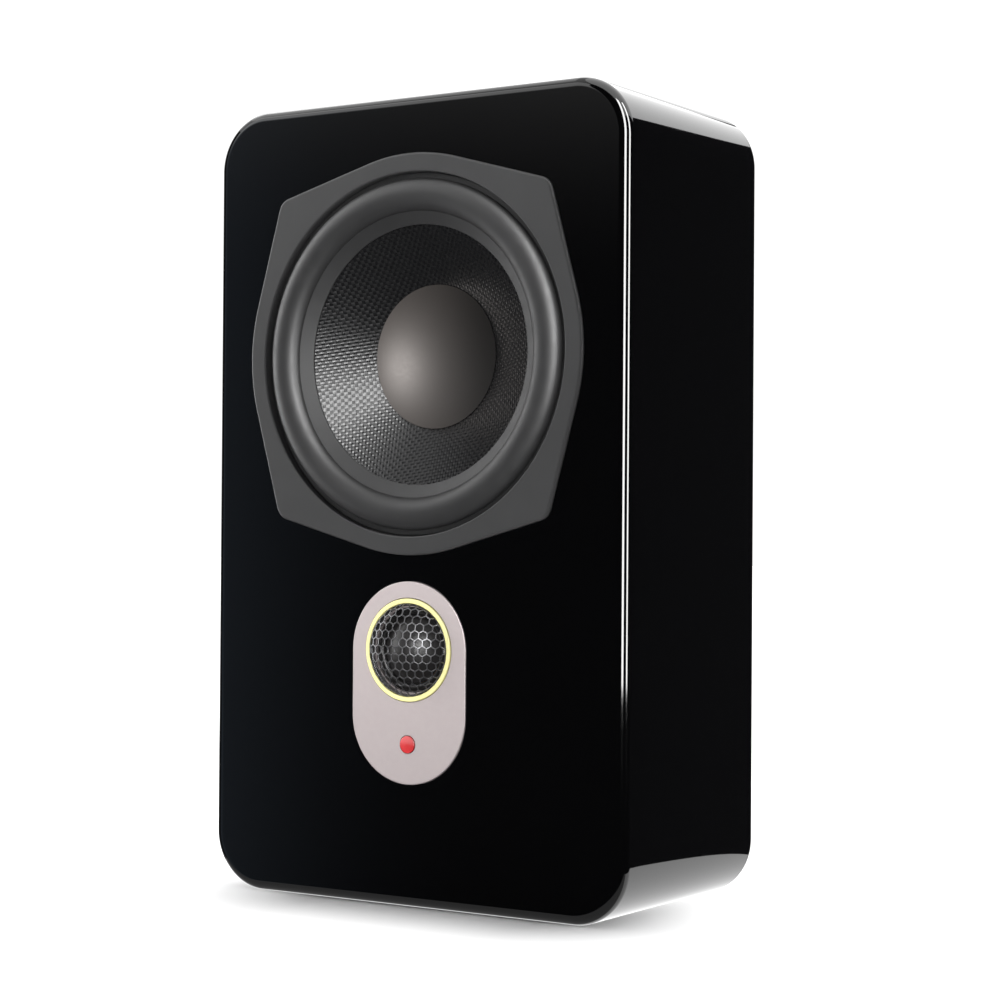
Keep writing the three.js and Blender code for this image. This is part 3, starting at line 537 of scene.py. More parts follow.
# ---------------------------------------------------------------- cabinet
OVERCUT = 5
TRIM_REBATE = 7
PLATE_REBATE = 3.3
WOOFER_OPENING_R = 67
TWEETER_OPENING_R = 20.8
CUP_FLANGE = (70, 56, 8)
CUP_BODY = (54, 40, 6)
CUP_RECESS = (50, 36, 5)
CUP_REBATE = 3.9


def cabinet_ring(inset, depth):
    outline = rounded_rectangle(WIDTH - 2 * inset, HEIGHT - 2 * inset, CORNER_R - inset)
    return ring(outline, depth, CABINET)


def prism(name, outline, front, back, centre):
    return loft(name, [ring(outline, front, centre), ring(outline, back, centre)])


def make_baffle():
    edge = arc((FRONT_EDGE_R, FRONT_EDGE_R), FRONT_EDGE_R, 270, 180, 12)
    rings = [cabinet_ring(inset, depth) for inset, depth in edge]
    panel = loft("baffle_panel", rings + [cabinet_ring(0, SEAM)])
    through = SEAM + OVERCUT
    panel = cut(
        panel,
        prism("rebate", eared(TRIM_R + GAP, EAR_R + GAP), -OVERCUT, TRIM_REBATE, WOOFER),
        prism("opening", circle(WOOFER_OPENING_R), -OVERCUT, through, WOOFER),
        prism("rebate", stadium(PLATE_R + GAP, PLATE_DROP), -OVERCUT, PLATE_REBATE, TWEETER),
        prism("opening", circle(TWEETER_OPENING_R), -OVERCUT, through, TWEETER),
    )
    stand_for(panel, "cabinet", "lacquer", "front_baffle")


def make_shell():
    edge = arc((REAR_EDGE_R, DEPTH - REAR_EDGE_R), REAR_EDGE_R, 180, 90, 5)
    outside = [cabinet_ring(0, SEAM)] + [cabinet_ring(inset, depth) for inset, depth in edge]
    inside = [cabinet_ring(WALL, DEPTH), cabinet_ring(WALL, SEAM)]
    shell = loft("cabinet_wrap", outside + inside, closed=True)
    stand_for(shell, "cabinet", "lacquer", "cabinet_shell")


def fitted(rectangle):
    """The opening that takes a rounded rectangle (width, height, radius) with a gap all round."""
    width, height, radius = rectangle
    return rounded_rectangle(width + 2 * GAP, height + 2 * GAP, radius)


def make_rear_panel():
    front = depths_of("rear_panel")[0]
    edge = 0.6
    inset = WALL + GAP
    section = ((inset, front), (inset, DEPTH - edge), (inset + edge, DEPTH))
    panel = loft("rear_board", [cabinet_ring(*place) for place in section])
    behind = DEPTH + OVERCUT
    panel = cut(
        panel,
        prism("rebate", fitted(CUP_FLANGE), DEPTH - CUP_REBATE, behind, TERMINALS),
        prism("opening", fitted(CUP_BODY), front - OVERCUT, behind, TERMINALS),
    )
    stand_for(panel, "cabinet", "lacquer", "rear_panel")


make_baffle()
make_shell()
make_rear_panel()

# ---------------------------------------------------------------- woofer
TRIM_OPENING_R = 67.3
SURROUND_OUTER_R = 65.1
SURROUND_INNER_R = 53
SURROUND_FOOT_R = 66.8
LIP_R = 48.3
LIP_LIFT = 0.75
CAP_RIM_R = 27
CAP_RISE = 9


def make_trim_ring():
    front, back = depths_of("woofer_trim_ring")
    outer_edge, inner_edge = 1.0, 0.6
    section = arc((outer_edge, front + outer_edge), outer_edge, 180, 270, 6)
    outside = [(0, back)] + section
    rings = [ring(eared(TRIM_R - inset, EAR_R - inset), depth, WOOFER) for inset, depth in outside]
    edge_r = TRIM_OPENING_R + inner_edge
    opening = arc((edge_r, front + inner_edge), inner_edge, 270, 180, 6)
    opening.append((TRIM_OPENING_R, back))
    rings += [ring(circle(radius, EAR_COUNT), depth, WOOFER) for radius, depth in opening]
    stand_for(loft("trim_ring", rings, closed=True), "cabinet", "satin_trim", "woofer_trim_ring")


def flex(obj):
    """Bakes the piece's placement into its mesh. The skin is not attached to the cabinet or to the moving
    body.
    """
    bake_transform(obj)


def make_surround():
    """Half roll with a flat foot under the trim ring and a flat lip on the cone."""
    seat, skin, rise, steps = 1.6, 0.55, -4.8, 40
    middle = (SURROUND_OUTER_R + SURROUND_INNER_R) / 2
    reach = (SURROUND_OUTER_R - SURROUND_INNER_R) / 2
    lip_depth = cone_depth(LIP_R) - LIP_LIFT
    profile = [(SURROUND_FOOT_R, seat)]
    profile += arc((middle, seat), (reach, rise), 0, 180, steps)
    profile += [(LIP_R, lip_depth), (LIP_R, lip_depth + skin)]
    profile += arc((middle, seat + skin), (reach - skin, rise), 180, 0, steps)
    profile.append((SURROUND_FOOT_R, seat + skin))
    surround = turned("rubber_surround", profile, WOOFER, 256)
    finished(surround, "butyl_rubber")
    flex(surround)
    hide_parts("woofer_surround")


CONE_RIM = (52.8, 2.6)
CONE_CAP = (27.3, 16.2)
CONE_NECK = (13.4, 25.4)


def cone_depth(radius):
    """The cone's front face: one straight slope from its rim to the cap, then steeper to the neck."""
    return np.interp(radius, *zip(CONE_NECK, CONE_CAP, CONE_RIM))


YARN_STEPS = 5
YARN_RISE = 0.09
YARN_CROWN = 0.17
YARN_ROUNDNESS = 0.97
SHEET_OUTER_R = 50.2
SHEET_INNER_R = 25.5


def crown(off_middle):
    """How far a yarn's rounded back drops, from 0 on its middle line towards its sides at -1 and 1."""
    return YARN_CROWN * (np.sqrt(1 - off_middle**2 * YARN_ROUNDNESS) - 1)


def weave_relief(p, q):
    """Height of a plain weave over its middle plane, with p and q counted in yarns."""
    column, row = np.floor(p), np.floor(q)
    odd_column = np.where(column % 2 == 0, 1.0, -1.0)
    odd_row = np.where(row % 2 == 0, 1.0, -1.0)
    across, along = 2 * (p - column) - 1, 2 * (q - row) - 1
    warp = YARN_RISE * odd_column * np.sin(np.pi * q) + crown(across)
    weft = -YARN_RISE * odd_row * np.sin(np.pi * p) + crown(along)
    return np.maximum(warp, weft)


def woven_sheet():
    """Points and faces of the cone's woven face: a fine grid laid out along its yarns."""
    step = YARN_PITCH / YARN_STEPS
    half = int(SHEET_OUTER_R / step) + 2
    line = (np.arange(-half, half) + 0.5) * step
    p, q = np.meshgrid(line, line)
    x = p * math.cos(YARN_TURN) - q * math.sin(YARN_TURN)
    z = p * math.sin(YARN_TURN) + q * math.cos(YARN_TURN)
    radius = np.hypot(x, z)
    depth = cone_depth(radius) - weave_relief(p / YARN_PITCH, q / YARN_PITCH)
    inside = (radius < SHEET_OUTER_R) & (radius > SHEET_INNER_R)
    full = inside[:-1, :-1] & inside[1:, :-1] & inside[:-1, 1:] & inside[1:, 1:]
    index = np.arange(line.size**2).reshape(line.size, line.size)
    corners = (index[:-1, :-1], index[:-1, 1:], index[1:, 1:], index[1:, :-1])
    faces = np.stack([c[full] for c in corners], axis=1)
    used, faces = np.unique(faces, return_inverse=True)
    points = np.column_stack((WOOFER[0] + x.ravel(), depth.ravel(), WOOFER[1] + z.ravel()))[used]
    return points, faces.reshape(-1, 4)


def make_cone():
    """The woven face over a solid cone body, whose rim and neck stand clear of the weave."""
    points, faces = woven_sheet()
    behind = 0.32
    thickness = 0.6
    face = [(r, depth + behind) for r, depth in (CONE_RIM, CONE_CAP, CONE_NECK)]
    back = [(r, depth + thickness) for r, depth in face[::-1]]
    rings = [ring(circle(r), depth, WOOFER) for r, depth in face + back]
    body = bands(len(rings), len(rings), TURN_STEPS)
    faces = faces.tolist() + (np.array(body) + len(points)).tolist()
    cone = build("woven_cone", np.concatenate([points] + rings), faces, sharp_deg=60)
    stand_for(cone, "woofer_diaphragm", "woven_fibre", "woofer_cone")


def cap_profile(rim_r, rim_depth, rise, steps):
    """A spherical cap from its axis to its rim, bulging forwards."""
    ball = (rim_r**2 + rise**2) / (2 * rise)
    top = rim_depth - rise + ball
    return [(r, top - math.sqrt(ball**2 - r**2)) for r in np.linspace(0, rim_r, steps + 1)]


def make_dust_cap():
    rim_depth = depths_of("woofer_dust_cap")[1]
    skin = 0.6
    outer = cap_profile(CAP_RIM_R, rim_depth, CAP_RISE, 48)
    inner = cap_profile(CAP_RIM_R - skin, rim_depth, CAP_RISE - skin, 24)[::-1]
    cap = turned("dust_cap", outer + inner, WOOFER)
    stand_for(cap, "woofer_diaphragm", "cap_plastic", "woofer_dust_cap")


def make_spider():
    """Corrugated cloth disc between the coil former and its landing on the basket."""
    waves, wave_depth, skin, steps = 3, 2.2, 0.5, 72
    landing_width = 4.5
    outer_r = size_of("woofer_spider")[0] / 2
    landing_r = outer_r - landing_width
    landing = depths_of("woofer_spider")[1] - skin
    radii = np.linspace(CONE_NECK[0], landing_r, steps + 1)
    swing = np.cos(np.linspace(0, 2 * math.pi * waves, steps + 1))
    depths = landing - wave_depth / 2 * (1 - swing)
    front = list(zip(radii, depths)) + [(outer_r, landing)]
    back = [(outer_r, landing + skin)] + list(zip(radii, depths + skin))[::-1]
    spider = turned("cloth_spider", front + back, WOOFER)
    finished(spider, "spider_cloth")
    flex(spider)
    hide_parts("woofer_spider")


make_trim_ring()
make_surround()
make_cone()
make_dust_cap()
make_spider()

# ---------------------------------------------------------------- tweeter
RING_SEAT = 1.5
SEAT_R = 19.3
THROAT_R = 15.8
BADGE_HOLE_R = 3.5
BADGE_R = 3.2
BADGE = centre_of("faceplate_badge_dot")
MESH_R = 16.9
MESH_PITCH = 3.3
MESH_BAR = 0.46
MESH_THICKNESS = 0.34
MESH_HEM = 0.9
DOME_R = 12.5
DOME_RISE = 4.5
ROLL_R = 14.1
ROLL_SEAT = 3.35


def make_faceplate():
    front, back = depths_of("tweeter_faceplate")
    edge = 0.45
    section = arc((edge, front + edge), edge, 270, 180, 6) + [(0, back)]
    rings = [ring(stadium(PLATE_R - inset, PLATE_DROP), depth, TWEETER) for inset, depth in section]
    plate = loft("silver_plate", rings)
    behind = back + OVERCUT
    seat = [(0, -OVERCUT), (SEAT_R, -OVERCUT), (SEAT_R, RING_SEAT), (THROAT_R, RING_SEAT), (THROAT_R, behind)]
    seat.append((0, behind))
    recess = 0.4
    plate = cut(
        plate,
        turned("seat", seat, TWEETER),
        prism("recess", circle(BADGE_HOLE_R, 64), -OVERCUT, recess, BADGE),
    )
    stand_for(plate, "cabinet", "silver_plate", "tweeter_faceplate")


def make_tweeter_ring():
    front, back = depths_of("tweeter_trim_ring")
    inner, outer, edge = 17.2, 19, 0.35
    section = rounded([(inner, back, 0), (inner, front, edge), (outer, front, edge), (outer, back, 0)], 5)
    stand_for(turned("gold_ring", section, TWEETER), "cabinet", "gold_ring", "tweeter_trim_ring")


def mesh_section():
    """The mesh dome's section from its top to its rim, steep at the rim and round on top."""
    top, back = depths_of("tweeter_mesh_grille")
    rim = back - MESH_HEM
    t = np.linspace(0, math.pi / 2, 200)
    return MESH_R * np.sin(t) ** 0.95, rim + (top - rim) * np.cos(t) ** 0.9


def hex_cells(limit, margin=0.6):
    """Flat hexagonal cells out to a radius, as points and faces. Each is six bars round its hole."""
    corner = np.radians(30 + 60 * np.arange(6))
    border = MESH_PITCH / math.sqrt(3)
    hole = (MESH_PITCH - MESH_BAR) / math.sqrt(3)
    rows = int(limit / MESH_PITCH) + 3
    points, faces = [], []
    for row in range(-rows, rows + 1):
        for column in range(-rows, rows + 1):
            x = (column + 0.5 * (row % 2)) * MESH_PITCH
            z = row * MESH_PITCH * math.sin(math.pi / 3)
            if math.hypot(x, z) > limit + margin:
                continue
            start = len(points)
            for reach in (hole, border):
                points += [(x + reach * math.cos(t), z + reach * math.sin(t)) for t in corner]
            for i in range(6):
                j = (i + 1) % 6
                faces.append((start + i, start + j, start + 6 + j, start + 6 + i))
    return np.array(points), faces


def make_mesh_dome():
    """Real hexagonal cells drawn over the dome: the way along its section is their way from the middle."""
    section_r, section_d = mesh_section()
    walked = np.concatenate(([0], np.cumsum(np.hypot(np.diff(section_r), np.diff(section_d)))))
    flat, faces = hex_cells(walked[-1])
    along = np.hypot(flat[:, 0], flat[:, 1])
    depth = np.interp(along, walked, section_d)
    beyond = np.maximum(along - walked[-1], 0)
    flat *= (np.interp(along, walked, section_r) / np.maximum(along, 1e-9))[:, None]
    mesh = build("hex_mesh", ring(flat, depth + beyond, TWEETER), faces, sharp_deg=180)
    mesh.modifiers.clear()
    thick = mesh.modifiers.new("thickness", "SOLIDIFY")
    thick.thickness = MESH_THICKNESS * MM
    thick.offset = 0
    round_off = mesh.modifiers.new("round_off", "BEVEL")
    round_off.width = 0.08 * MM
    round_off.segments = 2
    round_off.limit_method = "ANGLE"
    round_off.angle_limit = math.radians(40)
    stand_for(mesh, "cabinet", "grille_steel", "tweeter_mesh_grille")
    make_mesh_rim(float(section_d[-1]))


def make_mesh_rim(depth):
    """The folded hem that holds the mesh dome's edge."""
    front, back = depth - 0.45, depth + 1.5
    inner, outer, fold = MESH_R - 0.55, MESH_R + 0.12, 0.25
    section = rounded([(inner, back, 0), (inner, front, fold), (outer, front, fold), (outer, back, 0)], 4)
    rim = turned("mesh_rim", section, TWEETER)
    finished(rim, "grille_steel")
    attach(rim, "cabinet")


def make_tweeter_dome():
    skin = 0.25
    rim_depth = depths_of("tweeter_dome")[1]
    outer = cap_profile(DOME_R, rim_depth, DOME_RISE, 40)
    inner = cap_profile(DOME_R - skin, rim_depth, DOME_RISE - skin, 20)[::-1]
    dome = turned("silk_dome", outer + inner, TWEETER)
    stand_for(dome, "tweeter_diaphragm", "silk", "tweeter_dome")


def make_tweeter_surround():
    inner, outer, thickness = 12.6, 18, 0.3
    front, back = ROLL_SEAT, ROLL_SEAT + thickness
    profile = [(outer, front)] + arc((ROLL_R, front), (1.3, -1.5), 0, 180, 16) + [(inner, front)]
    profile += [(inner, back)] + arc((ROLL_R, back), (1.0, -1.3), 180, 0, 16) + [(outer, back)]
    roll = turned("silk_surround", profile, TWEETER)
    finished(roll, "silk")
    flex(roll)
    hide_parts("tweeter_surround")


def make_badge():
    front, back = depths_of("faceplate_badge_dot")
    crest, edge = (0, front, 0), (BADGE_R, front + 0.12, 0.3)
    section = rounded([crest, edge, (BADGE_R, back, 0), (0, back, 0)], 5, closed=False)
    stand_for(turned("badge_dot", section, BADGE, 96), "cabinet", "enamel_red", "faceplate_badge_dot")


make_faceplate()
make_tweeter_ring()
make_mesh_dome()
make_tweeter_dome()
make_tweeter_surround()
make_badge()

# ---------------------------------------------------------------- rear terminals
THREAD_PITCH = 1.0
THREAD_DEPTH = 0.34
THREAD_FADE = 0.8
POST_R = 3.3
POST_FLANGE = [(2.9, 80.3), (5.8, 80.3), (6, 80.5), (6, 82.7), (5.7, 83), (2.9, 83)]
KNOB_R = size_of("post_knob_red")[0] / 2
KNOB_FLUTES = 12
KNOB_COUNT = 240
CUP_FLOOR = 80
FLANGE_SEAT = 2.3
POST_HOLE_R = 3.6
SCREW_HOLE_R = 2.95
CUP_SCREWS = [f"terminal_cup_screw_{k}" for k in (1, 2, 3, 4)]
COLORS = ("red", "black")


def shrunk(rectangle, inset, depth):
    """A ring of the terminal cup: a rounded rectangle (width, height, radius) drawn in by an inset."""
    width, height, radius = rectangle
    outline = rounded_rectangle(width - 2 * inset, height - 2 * inset, radius - inset)
    return ring(outline, depth, TERMINALS)


def cup_rings():
    """The terminal cup from the back of its body, round its flange and down into its recess."""
    body_front, flange_back = depths_of("terminal_cup")
    flange_front = DEPTH - FLANGE_SEAT
    outer_edge, mouth_edge, corner, draft = 0.7, 0.6, 1, 0.4
    rings = [shrunk(CUP_BODY, 0, depth) for depth in (body_front, flange_front)]
    rings.append(shrunk(CUP_FLANGE, 0, flange_front))
    for inset, depth in arc((outer_edge, flange_back - outer_edge), outer_edge, 180, 90, 5):
        rings.append(shrunk(CUP_FLANGE, inset, depth))
    for grow, depth in arc((mouth_edge, flange_back - mouth_edge), mouth_edge, 90, 180, 5):
        rings.append(shrunk(CUP_RECESS, -grow, depth))
    for inset, depth in arc((corner + draft, CUP_FLOOR + corner), corner, 180, 270, 5):
        rings.append(shrunk(CUP_RECESS, inset, depth))
    return rings


def make_terminal_cup():
    cup = loft("cup", cup_rings())
    post_hole, screw_hole = circle(POST_HOLE_R, 64), circle(SCREW_HOLE_R, 64)
    posts = [centre_of("post_stud_" + color) for color in COLORS]
    screws = [centre_of(name) for name in CUP_SCREWS]
    holes = [prism("post_hole", post_hole, CUP_FLOOR - 10, CUP_FLOOR + 10, centre) for centre in posts]
    holes += [prism("screw_hole", screw_hole, DEPTH - 2, DEPTH + 2, centre) for centre in screws]
    stand_for(cut(cup, *holes), "cabinet", "moulded_black", "terminal_cup")


def make_cup_screw(node):
    """A flush countersunk screw with a cross recess."""
    front, back = depths_of(node)
    head_r = size_of(node)[0] / 2
    profile = rounded([
        (0, back - 0.05, 0), (head_r - 0.25, back - 0.05, 0.2), (head_r, back - 0.35, 0.15),
        (1.3, back - 1.7, 0), (1.3, front + 1, 0), (0, front, 0),
    ], 4, closed=False)
    screw = turned(node + "_body", profile, centre_of(node), 64)
    arms = []
    for width, height in ((2.9, 0.62), (0.62, 2.9)):
        mouth = ring(rounded_rectangle(width, height, 0.1, 3), back + 1, centre_of(node))
        toe = ring(rounded_rectangle(width * 0.6, height * 0.6, 0.05, 3), back - 1.5, centre_of(node))
        arms.append(loft("cross_recess", [mouth, toe]))
    stand_for(cut(screw, *arms), "cabinet", "screw_steel", node)


def thread_rings(front, back, centre, per_turn=8, count=64):
    """Rings of a helical thread: the radius depends on how far round the turn each point is."""
    angle = np.arange(count) * 2 * math.pi / count
    root_r = POST_R - 0.45
    rings = []
    for depth in np.arange(front, back, THREAD_PITCH / per_turn):
        phase = (depth / THREAD_PITCH - angle / (2 * math.pi)) % 1
        radius = POST_R - THREAD_DEPTH * np.minimum(1, 1.25 * np.abs(2 * phase - 1))
        fade = np.clip(min(depth - front, back - depth) / THREAD_FADE, 0, 1)
        radius = radius * fade + root_r * (1 - fade)
        rings.append(ring(np.column_stack((radius * np.cos(angle), radius * np.sin(angle))), depth, centre))
    return rings


def make_post(color, centre):
    stud = "post_stud_" + color
    front, back = depths_of(stud)
    rings = thread_rings(front, CUP_FLOOR, centre)
    rings += [ring(circle(r, 64), depth, centre) for r, depth in POST_FLANGE]
    rings += thread_rings(POST_FLANGE[-1][1] + GAP, back, centre)
    stand_for(loft(stud + "_thread", rings), "cabinet", "post_metal", stud)
    washer = "post_washer_" + color
    low, high = depths_of(washer)
    bore, rim = POST_HOLE_R, 6.2
    section = rounded([(bore, high, 0.2), (rim, high, 0.3), (rim, low, 0.3), (bore, low, 0.2)], 5)
    stand_for(turned(washer + "_disc", section, centre, 96), color + "_washer", "post_metal", washer)
    make_knob(color, centre)


def fluted(inset, flute_depth=0.55):
    angle = np.arange(KNOB_COUNT) * 2 * math.pi / KNOB_COUNT
    groove = (0.5 + 0.5 * np.cos(KNOB_FLUTES * angle)) ** 3
    radius = np.minimum(KNOB_R - inset, KNOB_R - flute_depth * groove)
    return np.column_stack((radius * np.cos(angle), radius * np.sin(angle)))


def make_knob(color, centre):
    """A clamping knob: fluted grip, smooth collar in front, rounded rear end with a dished middle."""
    node = "post_knob_" + color
    front, back = depths_of(node)
    bore_r, bore_end, edge, collar_r = POST_HOLE_R, 94, 0.8, 6.4
    rings = [ring(circle(bore_r, KNOB_COUNT), depth, centre) for depth in (bore_end, front + 0.3)]
    rings.append(ring(circle(bore_r + 0.3, KNOB_COUNT), front, centre))
    collar = ((collar_r - 0.2, front), (collar_r, front + 0.2), (collar_r, front + 1.2))
    rings += [ring(circle(r, KNOB_COUNT), depth, centre) for r, depth in collar]
    rings += [ring(fluted(inset), depth, centre) for inset, depth in ((0.5, front + 1.5), (0, front + 2))]
    for inset, depth in arc((edge, back - edge), edge, 180, 90, 6):
        rings.append(ring(fluted(inset), depth, centre))
    dish = ((4.6, back), (4.4, back - 0.15), (4.1, back - 0.45), (3.4, back - 0.5))
    rings += [ring(circle(r, KNOB_COUNT), depth, centre) for r, depth in dish]
    stand_for(loft(node + "_grip", rings), color + "_knob", "knob_" + color, node)


make_terminal_cup()
for screw_node in CUP_SCREWS:
    make_cup_screw(screw_node)
for post_color in COLORS:
    make_post(post_color, centre_of("post_stud_" + post_color))

# ---------------------------------------------------------------- the CAD nodes that stay
SLOT_OF = {part["node"]: part["material_slot"] for part in frame["record"]["subparts"]}
for node, obj in frame["nodes"].items():
    for material_slot in obj.material_slots:
        material_slot.link = "OBJECT"
        material_slot.material = FINISHES[SLOT_OF[node]]

# ---------------------------------------------------------------- studio
STAGE_REACH = 7
PAPER_GLOW = 1.1
ROOM_COLOR = (0.03, 0.03, 0.033)
WHITE = (1, 1, 1)


def receivers(name, *objects, take=True):
    """A light-linking collection: the lights that use it reach these objects alone, or all but these."""
    group = bpy.data.collections.new(name)
    for index, obj in enumerate(objects):
        group.objects.link(obj)
        group.collection_objects[index].light_linking.link_state = "INCLUDE" if take else "EXCLUDE"
    return group


def glow(name, strength, color=WHITE, ramp=None):
    """A see-through glow. A ramp is its axis, start and end."""
    material = bpy.data.materials.new(name)
    material.use_nodes = True
    tree = material.node_tree
    tree.nodes.clear()
    if ramp:
        strength = ramp_output(tree, strength, *ramp)
    lamp = add_node(tree, "Emission", {"Color": (*color, 1), "Strength": strength})
    clear = add_node(tree, "BsdfTransparent")
    both = add_node(tree, "AddShader", {0: lamp.outputs[0], 1: clear.outputs[0]})
    add_node(tree, "OutputMaterial", {"Surface": both.outputs[0]})
    return material


def ramp_output(tree, strength, axis, start, end):
    """A strength that grows from nothing at start to full at end, with the cube of the way along one axis."""
    place = add_node(tree, "NewGeometry").outputs["Position"]
    along = add_node(tree, "SeparateXYZ", {0: place}).outputs[axis]
    rise = add_node(tree, "MapRange", {"Value": along, "From Min": start, "From Max": end}).outputs[0]
    cube = add_node(tree, "Math", {0: rise, 1: 3}, operation="POWER").outputs[0]
    return add_node(tree, "Math", {0: cube, 1: strength}, operation="MULTIPLY").outputs[0]


def stage_mesh(name, points, faces, material):
    mesh = bpy.data.meshes.new(name)
    mesh.from_pydata(points, [], faces)
    mesh.materials.append(material)
    obj = bpy.data.objects.new(name, mesh)
    bpy.context.scene.collection.objects.link(obj)
    return obj


def seen_by(obj, camera=False, diffuse=False, glossy=False):
    obj.visible_camera = camera
    obj.visible_diffuse = diffuse
    obj.visible_glossy = glossy
    obj.visible_transmission = False
    obj.visible_volume_scatter = False
    obj.visible_shadow = False


def card(name, points, strength, reach, color=WHITE, diffuse=True, ramp=None):
    """A glowing card that the camera doesn't see. It lights what its reach says."""
    obj = stage_mesh(name, points, [tuple(range(len(points)))], glow(name, strength, color, ramp))
    seen_by(obj, diffuse=diffuse, glossy=True)
    obj.light_linking.receiver_collection = reach
    return obj


def standing_card(name, azimuths, heights, distance, strength, reach, **options):
    """An upright card, spanning two azimuths: 0 is in front of the baffle and 90 to its right."""
    around = (azimuths[0], azimuths[1], azimuths[1], azimuths[0])
    corners = []
    for degrees, height in zip(around, np.repeat(heights, 2)):
        heading = math.radians(degrees)
        corners.append((distance * math.sin(heading), -distance * math.cos(heading), float(height)))
    return card(name, corners, strength, reach, **options)


def level_card(name, x_range, y_range, height, strength, reach):
    """A level card that only reflections show."""
    (x0, x1), (y0, y1) = x_range, y_range
    corners = [(x0, y0, height), (x1, y0, height), (x1, y1, height), (x0, y1, height)]
    return card(name, corners, strength, reach, diffuse=False)


def make_floor():
    material = Finish("white_paper", (0.9, 0.9, 0.9), 0.9)
    material.bump(material.noise(0.5, 4), 0.02, 0.2)
    s = STAGE_REACH
    corners = [(-s, -s, 0), (s, -s, 0), (s, s, 0), (-s, s, 0)]
    floor = stage_mesh("floor", corners, [(0, 1, 2, 3)], material.material)
    floor.visible_glossy = False
    return floor


def make_backdrop():
    """A white room round the scene, which only the camera sees."""
    s = STAGE_REACH * 0.99
    corners = [(x, y, z) for z in (-s, s) for x, y in ((-s, -s), (s, -s), (s, s), (-s, s))]
    sides = [(0, 1, 5, 4), (1, 2, 6, 5), (2, 3, 7, 6), (3, 0, 4, 7), (4, 5, 6, 7)]
    seen_by(stage_mesh("backdrop", corners, sides, glow("backdrop", PAPER_GLOW)), camera=True)


def make_sun(name, energy, spread_deg, back_deg, left_deg, reach):
    """Light from near overhead that falls on the floor alone: its white, and the shadow of the base."""
    data = bpy.data.lights.new(name, "SUN")
    data.energy = energy
    data.angle = math.radians(spread_deg)
    sun = bpy.data.objects.new(name, data)
    bpy.context.scene.collection.objects.link(sun)
    sun.rotation_euler = (-math.radians(back_deg), -math.radians(left_deg), 0)
    sun.visible_glossy = False
    sun.light_linking.receiver_collection = reach
    return sun


def make_shadow_card():
    """A sheet hidden inside the cabinet, half way up: its blurred shadow is the soft shadow of the base."""
    inset, corner_r = 1, 8
    outline = np.array(rounded_rectangle(WIDTH - 2 * inset, DEPTH - 2 * inset, corner_r, 6)) * MM
    corners = [(x, y, HEIGHT / 2 * MM) for x, y in outline]
    sheet = stage_mesh("shadow_card", corners, [tuple(range(len(corners)))], FINISHES["foam"])
    seen_by(sheet)
    sheet.visible_shadow = True
    return sheet


def make_floor_light(floor):
    """Two suns that only the floor sees. The shadow card alone blocks the first."""
    only_floor = receivers("floor_only", floor)
    overhead = make_sun("overhead_sun", 5.2, 31, 13, 3, only_floor)
    overhead.light_linking.blocker_collection = receivers("shadow_card_only", make_shadow_card())
    make_sun("soft_sun", 0.8, 90, 0, 0, only_floor)


def make_edge_strips(reach):
    """Two tall strips on the right, which draw the bright lines down the rounded front edge."""
    standing_card("near_strip", (35, 53), (0.0, 2.0), 1.3, 25, reach, diffuse=False)
    standing_card("side_strip", (79, 93), (0.0, 2.0), 1.3, 25, reach, diffuse=False)


def make_left_light(off_woofer, off_mesh, lacquer_only, satin):
    """The broad light from the left that the front face, the trim ring and the surround see."""
    fade = {"ramp": ("X", -0.82, -1.1), "color": (0.8, 1, 1.25)}
    standing_card("front_box", (-64, -24), (0.3, 1.8), 1.6, 2.2, off_mesh, ramp=("Z", 0.33, 0.86))
    standing_card("left_high", (-125, -64), (1.0, 2.8), 1.6, 1.1, off_woofer)
    standing_card("faint_side", (-62, -30), (-0.4, 1.2), 1.65, 0.3, lacquer_only, **fade)
    standing_card("left_box", (-102, -64), (-0.1, 1.0), 1.3, 5, satin)


def make_rear_light(general, rear_only):
    standing_card("rear_paper", (-165, -108), (-0.1, 1.45), 2.0, 1.3, general)
    standing_card("rear_strip", (112, 134), (0.0, 1.6), 1.5, 7, rear_only)


def make_level_light(reach):
    """The ceiling that the gloss top shows, and the pale table that the lower edges show."""
    ceiling = 1.36
    table = -0.001
    level_card("overhead_box", (-0.35, 1.6), (-0.9, 2.25), ceiling, 2.65, reach)
    level_card("overhead_left", (-1.4, -0.35), (-0.9, 0.5), ceiling, 1.0, reach)
    level_card("overhead_back", (-1.4, -0.35), (0.5, 2.25), ceiling, 2.85, reach)
    level_card("table_sheen", (-0.12, 0.165), (-0.046, 0.09), table, 1.75, reach)
    level_card("table_front", (-0.12, 0.165), (-0.067, -0.046), table, 0.42, reach)


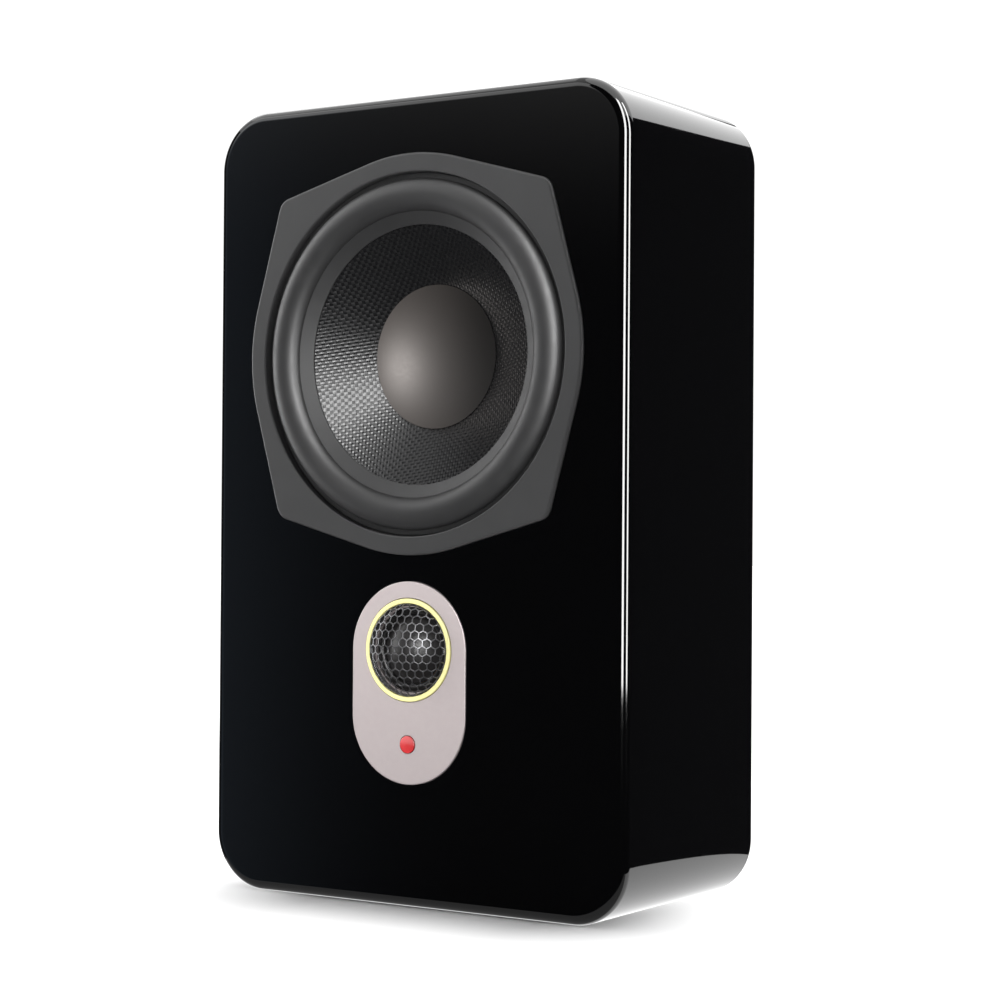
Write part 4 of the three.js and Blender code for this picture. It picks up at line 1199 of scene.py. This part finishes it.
def make_key_lights(cone, cap, mesh, silk_dome, tweeter_front):
    """One key for each part of the drivers that is angled its own way."""
    standing_card("cone_key", (-2, 24), (0.35, 1.2), 1.25, 14, receivers("cone_only", cone))
    cap_only = receivers("cap_only", cap)
    warm = (1.05, 0.98, 0.94)
    cap_key = standing_card("cap_key", (-66, -46), (-0.02, 0.26), 1.2, 74, cap_only, color=warm)
    cap_key.light_linking.blocker_collection = cap_only
    mesh_and_dome = receivers("mesh_and_dome", mesh, silk_dome)
    standing_card("mesh_key", (-15, 6), (0.12, 0.42), 1.2, 30, mesh_and_dome)
    standing_card("plate_fill", (-70, -10), (0.0, 0.9), 1.2, 3.2, receivers("tweeter_front", *tweeter_front))


def pieces(*names):
    return [bpy.data.objects[name] for name in names]


def make_lights(floor):
    cone, cap, mesh, silk_dome = pieces("woven_cone", "dust_cap", "hex_mesh", "silk_dome")
    lacquered = pieces("baffle_panel", "cabinet_wrap")
    rear_pieces = pieces("cup", "rear_board", *[name + "_body" for name in CUP_SCREWS])
    for name in ("post_stud_{}_thread", "post_washer_{}_disc", "post_knob_{}_grip"):
        rear_pieces += pieces(*[name.format(color) for color in COLORS])
    general = receivers("off_floor_and_cap", floor, cap, take=False)
    off_woofer = receivers("off_floor_cap_and_cone", floor, cap, cone, take=False)
    off_mesh = receivers("off_floor_cap_cone_and_mesh", floor, cap, cone, mesh, silk_dome, take=False)
    off_edges = (floor, cap, cone, mesh, silk_dome, *pieces("trim_ring"))
    edges = receivers("pieces_with_bright_edges", *off_edges, take=False)
    satin = receivers("satin_pieces", floor, cap, cone, *lacquered, take=False)
    make_floor_light(floor)
    make_edge_strips(edges)
    make_left_light(off_woofer, off_mesh, receivers("lacquer_only", *lacquered), satin)
    make_rear_light(general, receivers("rear_only", *rear_pieces))
    make_level_light(general)
    make_key_lights(cone, cap, mesh, silk_dome, pieces("silver_plate", "gold_ring", "badge_dot"))


world = bpy.data.worlds.new("studio")
world.use_nodes = True
world.node_tree.nodes["Background"].inputs["Color"].default_value = (*ROOM_COLOR, 1)
bpy.context.scene.world = world
floor_sheet = make_floor()
make_backdrop()
make_lights(floor_sheet)
